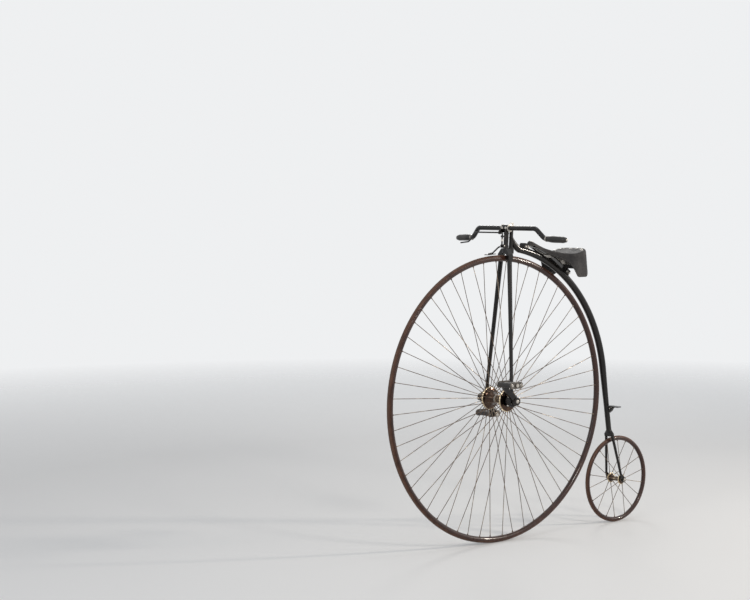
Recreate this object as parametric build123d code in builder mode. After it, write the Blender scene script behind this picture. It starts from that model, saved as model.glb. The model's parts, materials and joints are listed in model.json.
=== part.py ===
"""A high-wheel bicycle with a 52 inch front wheel, in millimetres.

The origin is the top of the saddle, +X points forward, +Y to the rider's left and +Z up.
The side view is laid out from the front axle: polar stations round it place the backbone, the
saddle and its spring, and stations along the fork line place the head and the front fork.
"""

import os
from collections import namedtuple
from math import cos, radians, sin, sqrt, tan

from build123d import *

os.makedirs("parts", exist_ok=True)

# Front wheel
WHEEL_R = 660.4
TYRE_W = 22.0
RIM_DEPTH = 17.4
RIM_W = 26.0
SPOKE_D = 3.0
SPOKE_BUTT_D = 4.6
SPOKE_COUNT = 28
SPOKE_PHASE_LEFT = 267.9
SPOKE_PHASE_RIGHT = 261.4
FLANGE_R = 46.0
FLANGE_Y = 58.0
FLANGE_T = 8.0
HUB_FLARE_R = 31.0
HUB_WAIST_R = 16.0
HUB_BOSS_R = 19.0
HUB_BOSS_L = 4.0
AXLE_D = 18.0

# Rear wheel
REAR_R = 211.3
REAR_TYRE_W = 17.0
REAR_RIM_DEPTH = 14.0
REAR_RIM_W = 20.0
REAR_SPOKE_D = 2.8
REAR_SPOKE_BUTT_D = 3.8
REAR_SPOKE_COUNT = 9
REAR_PHASE_LEFT = 211.3
REAR_PHASE_RIGHT = 191.3
REAR_FLANGE_R = 23.0
REAR_FLANGE_Y = 34.0
REAR_FLANGE_T = 5.0
REAR_HUB_FLARE_R = 17.0
REAR_HUB_WAIST_R = 10.5
REAR_HUB_BOSS_R = 12.0
REAR_HUB_BOSS_L = 2.5
REAR_AXLE_D = 10.0
WHEEL_GAP = 36.0

# Both wheels
SPOKE_SPREAD = 3.0
SPOKE_BUTT_L = 14.0

# Clearances and fits
SEAT_GAP = 0.3
BEARING_FIT = 0.08
PRESSED_FIT = 0.05
JOINED = 1.0

# Backbone: an arc round the wheel, a taper and a straight tail
BACKBONE_D = 32.0
BACKBONE_GAP = 19.5
TAIL_D = 26.0
BACKBONE_START = 10.1
BACKBONE_BEND_END = 81.4
TAPER_LENGTH = 180.0

# Steering head, laid out along the fork line from the level of the front axle
HEAD_TILT = 3.3
STEER_OFFSET = 31.0
CROWN_GAP = 9.0
CROWN_H = 22.0
CROWN_L = 27.0
CROWN_SHOULDER = 4.0
BAR_RISE = 115.0
PILLAR_D = 22.0
SPINDLE_D = 18.0
LUG_R = 15.0
LUG_H = 18.0
PILLAR_LUG_R = 13.0
BAR_CLAMP_D = 34.0
BAR_CLAMP_W = 44.0
CONE_D = 24.0
CONE_TIP_D = 12.0
CONE_H = 8.0
COLLAR_H = 5.0
NECK_BEND_D = 27.0
NECK_BEND_BACK = 17.0
NECK_BEND_RISE = 25.0
NECK_BEND_LEAN = 48.0
NECK_TOP_D = 21.0
NECK_TOP_RISE = 52.0
BOLT_D = 12.0
BOLT_TIP_D = 5.0
LOCKNUT_W = 20.0
LOCKNUT_H = 6.0
BOLT_HEAD_W = 15.0
BOLT_HEAD_H = 8.0
BOLT_SHOW = 3.0

# Front fork
BLADE_TOP_Y = 28.5
BLADE_TOP_L = 27.0
BLADE_TOP_W = 16.0
BLADE_FOOT_L = 18.0
BLADE_FOOT_W = 12.0
BLADE_LEG = 30.0
BEARING_GAP = 4.0
BEARING_W = 34.0
BEARING_R = 30.0
BEARING_BEVEL = 6.0
BEARING_DISH_R = 20.0
BEARING_DISH = 3.0

# Handlebar
BAR_D = 22.0
BAR_STRAIGHT = 188.0
BAR_DROP = 44.0
BAR_BEND_W = 48.0
BAR_SWEEP = 12.0
BAR_BEND_R = 34.0
# The way the bar's end points: ahead, out to the side and up
BAR_END_RUN = (-12.0, 110.0, -4.0)
GRIP_L = 112.0
GRIP_D = 31.0
GRIP_LEAD = 2.0
GRIP_WALL_END = 15.0
GRIP_PROFILE = (
    # share of the length, share of the diameter
    (0.0, 0.82),
    (0.3, 1.0),
    (0.8, 0.94),
    (1.0, 0.7),
)

# Spoon brake
SPOON_START = 3.0
SPOON_END = 6.8
SPOON_GAP = 5.5
SPOON_W = 30.0
SPOON_T = 3.5
SPOON_SEAT = 1.6
BRAKE_ROD_D = 7.0
BRAKE_ROD_LEAD = 7.0
HINGE_RISE = 10.0
HINGE_BOSS_D = 9.6
HINGE_BOSS_W = 12.0
HINGE_EAR_R = 8.0
HINGE_EAR_T = 4.0
HINGE_PIN_D = 6.0
ARM_LEAD = 26.0
ARM_FALL = 4.0
ARM_FOOT = 12.0
GUIDE_RISE = 50.0
GUIDE_R = 7.5
GUIDE_T = 8.0
LEVER_DROP = 22.0
LEVER_CORNER_R = 8.0
LEVER_BEND_R = 40.0
LEVER_SHORT = 40.0
LEVER_FALL = 6.0

# Cranks and pedals
CRANK_THROW = 125.0
CRANK_ANGLE = 44.0
CRANK_GAP = 4.0
CRANK_T = 12.0
CRANK_BOSS_R = 18.0
CRANK_BOSS_T = 16.0
CRANK_END_R = 13.0
CRANK_ROOT_R = 13.0
CRANK_TIP_R = 9.4
CRANK_SLOT_L = 36.0
COTTER_D = 8.0
COTTER_L = 46.0
AXLE_SHOW = 3.0
PEDAL_PIN_D = 10.0
PEDAL_NUT_D = 17.0
PEDAL_NUT_H = 6.0
PEDAL_GAP = 5.0
PEDAL_W = 88.0
PEDAL_L = 76.0
PEDAL_PLATE_T = 4.0
PEDAL_PLATE_H = 30.0
PEDAL_TUBE_D = 20.0
RUBBER_D = 22.0
RUBBER_ROD_D = 6.0
ROD_SHOW = 2.5

# Rear fork
REAR_CROWN_GAP = 8.7
REAR_CROWN_H = 34.0
REAR_CROWN_BODY = 10.0
REAR_CROWN_L = 17.0
REAR_CROWN_W = 59.7
REAR_BLADE_Y = 20.5
REAR_BLADE_TOP_D = 14.0
REAR_BLADE_FOOT_D = 12.0
REAR_HUB_GAP = 6.0
REAR_END_T = 6.0
REAR_END_R = 13.0
REAR_END_RISE = 26.0
REAR_END_LEAD = 17.0
REAR_NUT_R = 9.0
REAR_NUT_T = 8.0
REAR_AXLE_SHOW = 2.0

# Step on the left of the tail
STEP_UP = 121.0
STEP_Y = 18.0
STEP_L = 68.0
STEP_W = 28.0
STEP_T = 5.0
STEP_CORNER = 5.0
STEP_ARM_T = 12.0
STEP_ARM_H = 34.0
STEP_ARM_REACH = 45.0
STEP_CURVE_Y = 32.4
STEP_CURVE_DROP = 18.7
GROOVE_W = 3.0
GROOVE_DEPTH = 1.2
GROOVE_COUNT = 6
GROOVE_MARGIN = 3.0

# Saddle and spring, placed by their angles behind the top of the wheel
SADDLE_ANGLE = 26.2
SADDLE_RISE = 35.0
SPRING_W = 28.0
SPRING_T = 5.0
SPRING_START = 11.2
SPRING_END = 38.3
SPRING_LIFT = 6.0
SPRING_BOW = 9.0
CLIP_L = 30.0
CLIP_T = 4.0
CLIP_TURN = 1.6
LEATHER_T = 5.0
SADDLE_NOSE = 150.0
SADDLE_TAIL = 160.0
SADDLE_NOSE_W = 54.0
SADDLE_TAIL_W = 212.0
NOSE_LENGTH = 75.0
HIP_BACK = 80.0
HIP_SHARE = 0.72
TAIL_CORNER = 55.0
SKIRT_DROP = 118.0
SKIRT_FLARE = 5.0
SKIRT_CORNER = 34.0
SKIRT_FRONT = 52.0
SKIRT_TURN = 11.0
SKIRT_CURVE_DROP = 73.0
SKIRT_SWEEP = 40.0
SKIRT_SIDE_DROP = 42.5
NOSE_RISE = 60.0
NOSE_SLOPE = 0.4
NOSE_MIDDLE_RISE = 25.2
NOSE_EDGE_X = 90.0
NOSE_EDGE_Z = 10.0
NOSE_LIP_X = 138.0
NOSE_LIP_Z = 34.0
NOSE_DEPTH = 12.0
BACK_RISE = 26.0
BACK_SLOPE = 0.3
DIP = 5.0
DIP_X = -64.0
TOP_ROUND = 9.0
ROUND_SHARE = 0.5

# Cradle under the leather: two wires, a clamp on the leaf, a nose plate and a cantle plate
WIRE_D = 5.0
WIRE_BEND_R = 20.0
WIRE_STATIONS = (
    # ahead of the origin, out to the side, up
    (118.0, 10.0, 32.5),
    (104.0, 16.8, 26.0),
    (70.0, 17.6, 7.0),
    (0.0, 20.5, -20.0),
    (-62.0, 30.0, -40.0),
    (-155.5, 50.0, -30.0),
)
CANTLE_T = 4.0
CANTLE_FRONT = 132.0
CANTLE_DROP = 45.0
CLAMP_L = 26.0
CLAMP_W = 50.0
NOSE_PLATE_T = 4.0
NOSE_PLATE_L = 18.0
NOSE_PLATE_W = 30.0

# What follows from those sizes
BACKBONE_R = WHEEL_R + BACKBONE_GAP + BACKBONE_D / 2
SURFACE_R = BACKBONE_R + BACKBONE_D / 2
SADDLE_R = SURFACE_R + SADDLE_RISE
AXLE_X = SADDLE_R * sin(radians(SADDLE_ANGLE))
AXLE_Z = -SADDLE_R * cos(radians(SADDLE_ANGLE))
GROUND_Z = AXLE_Z - WHEEL_R
REAR_Z = GROUND_Z + REAR_R
WHEELBASE = sqrt((WHEEL_R + REAR_R + WHEEL_GAP) ** 2 - (WHEEL_R - REAR_R) ** 2)
REAR_X = AXLE_X - WHEELBASE
STEER = Plane(
    origin=(AXLE_X, 0, AXLE_Z),
    x_dir=(cos(radians(HEAD_TILT)), 0, sin(radians(HEAD_TILT))),
    z_dir=(-sin(radians(HEAD_TILT)), 0, cos(radians(HEAD_TILT))),
)
CROWN_S = WHEEL_R + CROWN_GAP
CROWN_TOP_S = CROWN_S + CROWN_H
BLADE_TOP_S = CROWN_S - BLADE_LEG
BAR_S = CROWN_S + BAR_RISE
HUB_END_Y = FLANGE_Y + FLANGE_T / 2 + HUB_BOSS_L
BEARING_IN_Y = HUB_END_Y + BEARING_GAP
BEARING_Y = BEARING_IN_Y + BEARING_W / 2
CRANK_IN_Y = BEARING_IN_Y + BEARING_W + CRANK_GAP
CRANK_OUT_Y = CRANK_IN_Y + CRANK_T
PEDAL_IN_Y = CRANK_OUT_Y + PEDAL_GAP
PEDAL_OUT_Y = PEDAL_IN_Y + PEDAL_W
REAR_END_IN_Y = REAR_FLANGE_Y + REAR_FLANGE_T / 2 + REAR_HUB_BOSS_L + REAR_HUB_GAP
REAR_END_Y = REAR_END_IN_Y + REAR_END_T / 2


def polar(radius, angle):
    """X and Z of a point at a radius from the front axle, at degrees behind the top of the wheel."""
    return AXLE_X - radius * sin(radians(angle)), AXLE_Z + radius * cos(radians(angle))


def head_point(x, y, s):
    """A point x ahead of the fork line, y to the left and s along the fork from the axle."""
    return STEER.from_local_coords(Vector(x, y, s))


def head_plan(s, x=0, y=0):
    """The view down the fork at a height s, centred x ahead and y left, with local x forward."""
    return Plane(head_point(x, y, s), STEER.x_dir, STEER.z_dir)


def across(x, z):
    """A plane for half sections of a wheel: local x is the radius upwards and local y is row Y."""
    return Plane(origin=(x, 0, z), x_dir=(0, 0, 1), z_dir=(-1, 0, 0))


def side_plane(y):
    """The side view at a distance y to the left, with local x forward and local y up."""
    return Plane(origin=(0, y, 0), x_dir=(1, 0, 0), z_dir=(0, -1, 0))


def save(piece, label):
    """Labels one finished piece and writes it."""
    piece.part.label = label
    export_step(piece.part, f"parts/{label}.step")


# Wheels: tyre, rim, hub and straight spokes, the same for both
Wheel = namedtuple(
    "Wheel",
    "x z radius tyre_w rim_depth rim_w flange_r flange_y flange_t flare_r waist_r boss_r boss_l "
    "axle_d fit spoke_d butt_d spokes phase_left phase_right",
)
WHEELS = {
    "front": Wheel(
        AXLE_X, AXLE_Z, WHEEL_R, TYRE_W, RIM_DEPTH, RIM_W, FLANGE_R, FLANGE_Y, FLANGE_T, HUB_FLARE_R,
        HUB_WAIST_R, HUB_BOSS_R, HUB_BOSS_L, AXLE_D, PRESSED_FIT, SPOKE_D, SPOKE_BUTT_D, SPOKE_COUNT,
        SPOKE_PHASE_LEFT, SPOKE_PHASE_RIGHT,
    ),
    "rear": Wheel(
        REAR_X, REAR_Z, REAR_R, REAR_TYRE_W, REAR_RIM_DEPTH, REAR_RIM_W, REAR_FLANGE_R, REAR_FLANGE_Y,
        REAR_FLANGE_T, REAR_HUB_FLARE_R, REAR_HUB_WAIST_R, REAR_HUB_BOSS_R, REAR_HUB_BOSS_L,
        REAR_AXLE_D, BEARING_FIT, REAR_SPOKE_D, REAR_SPOKE_BUTT_D, REAR_SPOKE_COUNT,
        REAR_PHASE_LEFT, REAR_PHASE_RIGHT,
    ),
}

for end, w in WHEELS.items():
    spin = Axis((w.x, 0, w.z), (0, 1, 0))
    tyre_c = w.radius - w.tyre_w / 2
    groove = w.tyre_w / 2 + SEAT_GAP
    rim_in = tyre_c - w.rim_depth

    with BuildPart() as tyre:
        with BuildSketch(across(w.x, w.z)):
            with Locations((tyre_c, 0)):
                Circle(w.tyre_w / 2)
        revolve(axis=spin)
    save(tyre, f"{end}_tyre")

    # The rim is a crescent that cups the inner half of the tyre
    with BuildPart() as rim:
        with BuildSketch(across(w.x, w.z)):
            with BuildLine():
                ThreePointArc((tyre_c, -w.rim_w / 2), (rim_in, 0), (tyre_c, w.rim_w / 2))
                Line((tyre_c, w.rim_w / 2), (tyre_c, groove))
                ThreePointArc((tyre_c, groove), (tyre_c - groove, 0), (tyre_c, -groove))
                Line((tyre_c, -groove), (tyre_c, -w.rim_w / 2))
            make_face()
        revolve(axis=spin)
    save(rim, f"{end}_rim")

    # The hub flares from a waist to two flanges, with a boss outside each
    bore = w.axle_d / 2 + w.fit
    inner = w.flange_y - w.flange_t / 2
    outer = w.flange_y + w.flange_t / 2
    boss = outer + w.boss_l
    with BuildPart() as hub:
        with BuildSketch(across(w.x, w.z)):
            with BuildLine():
                Polyline((bore, -boss), (w.boss_r, -boss), (w.boss_r, -outer), (w.flange_r, -outer),
                         (w.flange_r, -inner), (w.flare_r, -inner))
                ThreePointArc((w.flare_r, -inner), (w.waist_r, 0), (w.flare_r, inner))
                Polyline((w.flare_r, inner), (w.flange_r, inner), (w.flange_r, outer),
                         (w.boss_r, outer), (w.boss_r, boss), (bore, boss), (bore, -boss))
            make_face()
        revolve(axis=spin)
    save(hub, f"{end}_hub")

    # Each spoke runs from the flange to the rim and is thicker where it screws into the flange
    for side, sign, phase in (("left", 1, w.phase_left), ("right", -1, w.phase_right)):
        near = (w.flange_r + SEAT_GAP, sign * w.flange_y)
        far = (rim_in, sign * SPOKE_SPREAD)
        length = sqrt((far[0] - near[0]) ** 2 + (far[1] - near[1]) ** 2)
        with BuildPart() as spokes:
            for k in range(w.spokes):
                turn = radians(phase + k * 360 / w.spokes)
                out = Vector(cos(turn), 0, sin(turn))
                start = Vector(w.x, near[1], w.z) + out * near[0]
                along = out * (far[0] - near[0]) + Vector(0, far[1] - near[1], 0)
                for diameter, amount in ((w.spoke_d, length), (w.butt_d, SPOKE_BUTT_L)):
                    with BuildSketch(Plane(origin=start, z_dir=along)):
                        Circle(diameter / 2)
                    extrude(amount=amount)
        save(spokes, f"{end}_spokes_{side}")

# Front axle, through the hub, the fork's bearings and the cranks
AXLE_END_Y = CRANK_IN_Y + CRANK_BOSS_T + AXLE_SHOW
with BuildPart() as front_axle:
    with BuildSketch(side_plane(AXLE_END_Y)):
        with Locations((AXLE_X, AXLE_Z)):
            Circle(AXLE_D / 2)
    extrude(amount=2 * AXLE_END_Y)
    chamfer(front_axle.edges().filter_by(GeomType.CIRCLE), AXLE_SHOW / 2)
save(front_axle, "front_axle")

# Cranks, pedal pins and pedals
Crank = namedtuple("Crank", "side sign angle")
CRANKS = (Crank("left", 1, CRANK_ANGLE), Crank("right", -1, CRANK_ANGLE + 180))

for side, sign, angle in CRANKS:
    arm = Vector(cos(radians(angle)), 0, sin(radians(angle)))
    square = Vector(-arm.Z, 0, arm.X)
    pin_at = Vector(AXLE_X, 0, AXLE_Z) + arm * CRANK_THROW
    slot_half = CRANK_SLOT_L / 2 - PEDAL_PIN_D / 2 - PRESSED_FIT
    slot_at = pin_at - arm * slot_half
    cotter_at = Vector(AXLE_X, sign * (CRANK_IN_Y + CRANK_BOSS_T / 2), AXLE_Z) - arm * AXLE_D / 2
    outward = -sign

    with BuildPart() as crank:
        with BuildSketch(side_plane(sign * CRANK_IN_Y)):
            with Locations((AXLE_X, AXLE_Z)):
                Circle(CRANK_ROOT_R)
            with Locations((pin_at.X, pin_at.Z)):
                Circle(CRANK_TIP_R)
            make_hull()
            with Locations((pin_at.X, pin_at.Z)):
                Circle(CRANK_END_R)
        extrude(amount=outward * CRANK_T)
        with BuildSketch(side_plane(sign * CRANK_IN_Y)):
            with Locations((AXLE_X, AXLE_Z)):
                Circle(CRANK_BOSS_R)
        extrude(amount=outward * CRANK_BOSS_T)
        with BuildSketch(Plane(origin=cotter_at - square * COTTER_L / 2, z_dir=square)):
            Circle(COTTER_D / 2)
        extrude(amount=COTTER_L)
        with BuildSketch(side_plane(sign * CRANK_IN_Y)):
            with Locations((AXLE_X, AXLE_Z)):
                Circle(AXLE_D / 2 + PRESSED_FIT)
            with Locations((slot_at.X, slot_at.Z)):
                SlotOverall(CRANK_SLOT_L, PEDAL_PIN_D + 2 * PRESSED_FIT, rotation=angle)
        extrude(amount=outward * CRANK_BOSS_T, mode=Mode.SUBTRACT)
    save(crank, f"crank_{side}")

    # The pin is nutted behind the crank, shouldered in front of it and capped outside the pedal
    back_y = CRANK_IN_Y - SEAT_GAP - PEDAL_NUT_H
    pin_steps = (
        # start, end, diameter
        (back_y, PEDAL_OUT_Y + SEAT_GAP + PEDAL_NUT_H, PEDAL_PIN_D),
        (back_y, CRANK_IN_Y - SEAT_GAP, PEDAL_NUT_D),
        (CRANK_OUT_Y + SEAT_GAP, PEDAL_IN_Y - SEAT_GAP, PEDAL_NUT_D),
        (PEDAL_OUT_Y + SEAT_GAP, PEDAL_OUT_Y + SEAT_GAP + PEDAL_NUT_H, PEDAL_NUT_D),
    )
    with BuildPart() as pin:
        for start, finish, diameter in pin_steps:
            with BuildSketch(side_plane(sign * start)):
                with Locations((pin_at.X, pin_at.Z)):
                    Circle(diameter / 2)
            extrude(amount=outward * (finish - start))
    save(pin, f"pedal_pin_{side}")

    # The pedal is a tube between two plates, with a rod each side that carries the rubbers
    rod_x = PEDAL_L / 2 - RUBBER_D / 2
    with BuildPart() as pedal:
        for plate_y in (PEDAL_IN_Y, PEDAL_OUT_Y - PEDAL_PLATE_T):
            with BuildSketch(side_plane(sign * plate_y)):
                with Locations((pin_at.X, pin_at.Z)):
                    SlotOverall(PEDAL_L, PEDAL_PLATE_H)
            extrude(amount=outward * PEDAL_PLATE_T)
        with BuildSketch(side_plane(sign * (PEDAL_IN_Y + PEDAL_PLATE_T / 2))):
            with Locations((pin_at.X, pin_at.Z)):
                Circle(PEDAL_TUBE_D / 2)
        extrude(amount=outward * (PEDAL_W - PEDAL_PLATE_T))
        with BuildSketch(side_plane(sign * (PEDAL_IN_Y + PEDAL_PLATE_T / 2))):
            with Locations((pin_at.X - rod_x, pin_at.Z), (pin_at.X + rod_x, pin_at.Z)):
                Circle(RUBBER_ROD_D / 2)
        extrude(amount=outward * (PEDAL_W - PEDAL_PLATE_T / 2 + ROD_SHOW))
        with BuildSketch(side_plane(sign * PEDAL_IN_Y)):
            with Locations((pin_at.X, pin_at.Z)):
                Circle(PEDAL_PIN_D / 2 + BEARING_FIT)
        extrude(amount=outward * PEDAL_W, mode=Mode.SUBTRACT)
    save(pedal, f"pedal_frame_{side}")

    with BuildPart() as rubbers:
        with BuildSketch(side_plane(sign * (PEDAL_IN_Y + PEDAL_PLATE_T + SEAT_GAP))):
            with Locations((pin_at.X - rod_x, pin_at.Z), (pin_at.X + rod_x, pin_at.Z)):
                RegularPolygon(RUBBER_D / 2, 8)
                Circle(RUBBER_ROD_D / 2 + PRESSED_FIT, mode=Mode.SUBTRACT)
        extrude(amount=outward * (PEDAL_W - 2 * PEDAL_PLATE_T - 2 * SEAT_GAP))
    save(rubbers, f"pedal_rubbers_{side}")

# Fork blades: oval tapers that splay from the crown to the bearings on the axle
SPLAY = (BEARING_Y - BLADE_TOP_Y) / BLADE_TOP_S
for side, sign in (("left", 1), ("right", -1)):
    with BuildPart() as blade:
        for s, y, oval_l, oval_w in (
            (BLADE_TOP_S, BLADE_TOP_Y, BLADE_TOP_L, BLADE_TOP_W),
            (BEARING_R / 2, BEARING_Y - SPLAY * BEARING_R / 2, BLADE_FOOT_L, BLADE_FOOT_W),
        ):
            with BuildSketch(head_plan(s, 0, sign * y)):
                Ellipse(oval_l / 2, oval_w / 2)
        loft(ruled=True)
        with BuildSketch(side_plane(sign * (BEARING_Y + BEARING_W))):
            with Locations((AXLE_X, AXLE_Z)):
                Circle(BEARING_R + SEAT_GAP)
        extrude(amount=sign * 2 * BEARING_W, mode=Mode.SUBTRACT)
    save(blade, f"fork_blade_{side}")

    # Round bearing case, bevelled, with a dished outer face
    case_in, case_out = BEARING_IN_Y, BEARING_IN_Y + BEARING_W
    bore = AXLE_D / 2 + BEARING_FIT
    case = (
        (bore, case_in),
        (BEARING_R - BEARING_BEVEL, case_in),
        (BEARING_R, case_in + BEARING_BEVEL),
        (BEARING_R, case_out - BEARING_BEVEL),
        (BEARING_R - BEARING_BEVEL, case_out),
        (BEARING_DISH_R, case_out),
        (BEARING_DISH_R - BEARING_DISH, case_out - BEARING_DISH),
        (bore, case_out - BEARING_DISH),
    )
    with BuildPart() as bearing:
        with BuildSketch(across(AXLE_X, AXLE_Z)):
            with BuildLine():
                Polyline(*[(radius, sign * y) for radius, y in case], close=True)
            make_face()
        revolve(axis=Axis((AXLE_X, 0, AXLE_Z), (0, 1, 0)))
    save(bearing, f"bearing_{side}")

# Open steering head: an arched crown over the tyre, a pillar in front, and a lug above and below
# that reach back to the steering centres
FRONT_VIEW = Plane(head_point(-CROWN_L / 2, 0, 0), (0, 1, 0), STEER.x_dir)
leg_in = BLADE_TOP_Y - BLADE_TOP_W / 2
leg_out = BLADE_TOP_Y + BLADE_TOP_W / 2
shoulder_s = CROWN_S - CROWN_SHOULDER
arch_s = CROWN_S - leg_in / 2
bar_at = head_point(0, 0, BAR_S)
rod_x = PILLAR_D / 2 + BRAKE_ROD_D + BRAKE_ROD_LEAD
hinge = head_point(PILLAR_D / 2 + BRAKE_ROD_D, 0, CROWN_TOP_S + HINGE_RISE)
hinge_root = head_point(0, 0, CROWN_TOP_S + HINGE_RISE)
lever_at = head_point(rod_x, 0, BAR_S - LEVER_DROP)
with BuildPart() as crown:
    with BuildSketch(FRONT_VIEW):
        with BuildLine():
            Polyline((-leg_out, BLADE_TOP_S), (-leg_out, shoulder_s), (-LUG_R, CROWN_TOP_S),
                     (LUG_R, CROWN_TOP_S), (leg_out, shoulder_s), (leg_out, BLADE_TOP_S),
                     (leg_in, BLADE_TOP_S), (leg_in, arch_s))
            ThreePointArc((leg_in, arch_s), (0, CROWN_S), (-leg_in, arch_s))
            Polyline((-leg_in, arch_s), (-leg_in, BLADE_TOP_S), (-leg_out, BLADE_TOP_S))
        make_face()
    extrude(amount=CROWN_L)
    for s, height, front_r in (
        (CROWN_S, CROWN_H, LUG_R),
        (BAR_S - LUG_H / 2, LUG_H, PILLAR_LUG_R),
    ):
        with BuildSketch(head_plan(s)):
            Circle(front_r)
            with Locations((-STEER_OFFSET, 0)):
                Circle(LUG_R)
            make_hull()
        extrude(amount=height)
    with BuildSketch(head_plan(CROWN_TOP_S - JOINED)):
        Circle(PILLAR_D / 2)
    extrude(amount=BAR_S - CROWN_TOP_S + JOINED)
    with BuildSketch(side_plane(BAR_CLAMP_W / 2)):
        with Locations((bar_at.X, bar_at.Z)):
            Circle(BAR_CLAMP_D / 2)
    extrude(amount=BAR_CLAMP_W)
    # Ears for the spoon's hinge, a guide for the brake rod and an ear for the lever
    for y in (HINGE_BOSS_W / 2 + SEAT_GAP + HINGE_EAR_T, -HINGE_BOSS_W / 2 - SEAT_GAP):
        with BuildSketch(side_plane(y)):
            with Locations((hinge.X, hinge.Z), (hinge_root.X, hinge_root.Z)):
                Circle(HINGE_EAR_R)
            make_hull()
            with Locations((hinge.X, hinge.Z)):
                Circle(HINGE_PIN_D / 2 + PRESSED_FIT, mode=Mode.SUBTRACT)
        extrude(amount=HINGE_EAR_T)
    with BuildSketch(head_plan(CROWN_TOP_S + GUIDE_RISE)):
        with Locations((0, 0), (rod_x, 0)):
            Circle(GUIDE_R)
        make_hull()
        with Locations((rod_x, 0)):
            Circle(BRAKE_ROD_D / 2 + SEAT_GAP, mode=Mode.SUBTRACT)
    extrude(amount=GUIDE_T)
    with BuildSketch(side_plane(-BAR_CLAMP_W / 2 + GUIDE_T)):
        with Locations((bar_at.X, bar_at.Z)):
            Circle(BAR_CLAMP_D / 2 - JOINED)
        with Locations((lever_at.X, lever_at.Z)):
            Circle(GUIDE_R)
        make_hull()
        with Locations((lever_at.X, lever_at.Z)):
            Circle(BRAKE_ROD_D / 2 + SEAT_GAP, mode=Mode.SUBTRACT)
    extrude(amount=GUIDE_T)
    # The bar's bore, the cup of the lower centre and the hole of the adjusting bolt
    with BuildSketch(side_plane(BAR_CLAMP_W / 2)):
        with Locations((bar_at.X, bar_at.Z)):
            Circle(BAR_D / 2 + PRESSED_FIT)
    extrude(amount=BAR_CLAMP_W, mode=Mode.SUBTRACT)
    with BuildSketch(head_plan(CROWN_TOP_S, -STEER_OFFSET)):
        Circle(CONE_D / 2 + SEAT_GAP)
    with BuildSketch(head_plan(CROWN_TOP_S - CONE_H, -STEER_OFFSET)):
        Circle(CONE_TIP_D / 2 + SEAT_GAP)
    loft(ruled=True, mode=Mode.SUBTRACT)
    with BuildSketch(head_plan(BAR_S - LUG_H, -STEER_OFFSET)):
        Circle(BOLT_D / 2 + PRESSED_FIT)
    extrude(amount=2 * LUG_H, mode=Mode.SUBTRACT)
save(crown, "fork_crown")

# Adjusting bolt: a pointed upper centre with a locknut and a hexagon head
point_s = BAR_S - LUG_H / 2 - CONE_H
shank_s = point_s + CONE_H - SEAT_GAP
nut_s = BAR_S + LUG_H / 2 + SEAT_GAP
head_s = nut_s + LOCKNUT_H + BOLT_SHOW
with BuildPart() as head_bolt:
    with BuildSketch(head_plan(point_s, -STEER_OFFSET)):
        Circle(BOLT_TIP_D / 2)
    with BuildSketch(head_plan(shank_s, -STEER_OFFSET)):
        Circle(BOLT_D / 2)
    loft(ruled=True)
    with BuildSketch(head_plan(shank_s, -STEER_OFFSET)):
        Circle(BOLT_D / 2)
    extrude(amount=head_s - shank_s)
    for s, height, width in ((nut_s, LOCKNUT_H, LOCKNUT_W), (head_s, BOLT_HEAD_H, BOLT_HEAD_W)):
        with BuildSketch(head_plan(s, -STEER_OFFSET)):
            RegularPolygon(width / 2, 6, major_radius=False)
        extrude(amount=height)
save(head_bolt, "head_bolt")

# Handlebar: straight through the clamp, then dropped and swept back to the grips
bar_out = head_point(0, BAR_STRAIGHT, BAR_S)
bar_low = head_point(-BAR_SWEEP, BAR_STRAIGHT + BAR_BEND_W, BAR_S - BAR_DROP)
end_dir = (STEER.from_local_coords(Vector(*BAR_END_RUN)) - STEER.origin).normalized()
bend_lead = BAR_BEND_R * tan(radians(end_dir.get_angle(bar_low - bar_out) / 2))
bar_end = bar_low + end_dir * (bend_lead + GRIP_LEAD + GRIP_L - GRIP_WALL_END)
half_bar = [bar_out, bar_low, bar_end]
mirrored = [Vector(p.X, -p.Y, p.Z) for p in reversed(half_bar)]
with BuildPart() as handlebar:
    with BuildLine():
        bar_path = FilletPolyline(*mirrored, *half_bar, radius=BAR_BEND_R)
    with BuildSketch(Plane(origin=bar_path @ 0, z_dir=bar_path % 0)):
        Circle(BAR_D / 2)
    sweep()
save(handlebar, "handlebar")

# Grips: pear-shaped, closed at the end
for side, sign in (("left", 1), ("right", -1)):
    out = Vector(end_dir.X, sign * end_dir.Y, end_dir.Z)
    tip = Vector(bar_end.X, sign * bar_end.Y, bar_end.Z)
    mouth = tip - out * (GRIP_L - GRIP_WALL_END)
    bore = BAR_D / 2 + PRESSED_FIT
    floor = GRIP_L - GRIP_WALL_END + SEAT_GAP
    profile = [(GRIP_L * along, GRIP_D / 2 * width) for along, width in GRIP_PROFILE]
    with BuildPart() as grip:
        with BuildSketch(Plane(origin=mouth, x_dir=out, z_dir=out.cross(Vector(0, 0, 1)))):
            with BuildLine():
                Spline(*profile)
                Polyline(profile[-1], (GRIP_L, 0), (floor, 0), (floor, bore), (0, bore), profile[0])
            make_face()
        revolve(axis=Axis(mouth, out))
    save(grip, f"grip_{side}")

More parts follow.
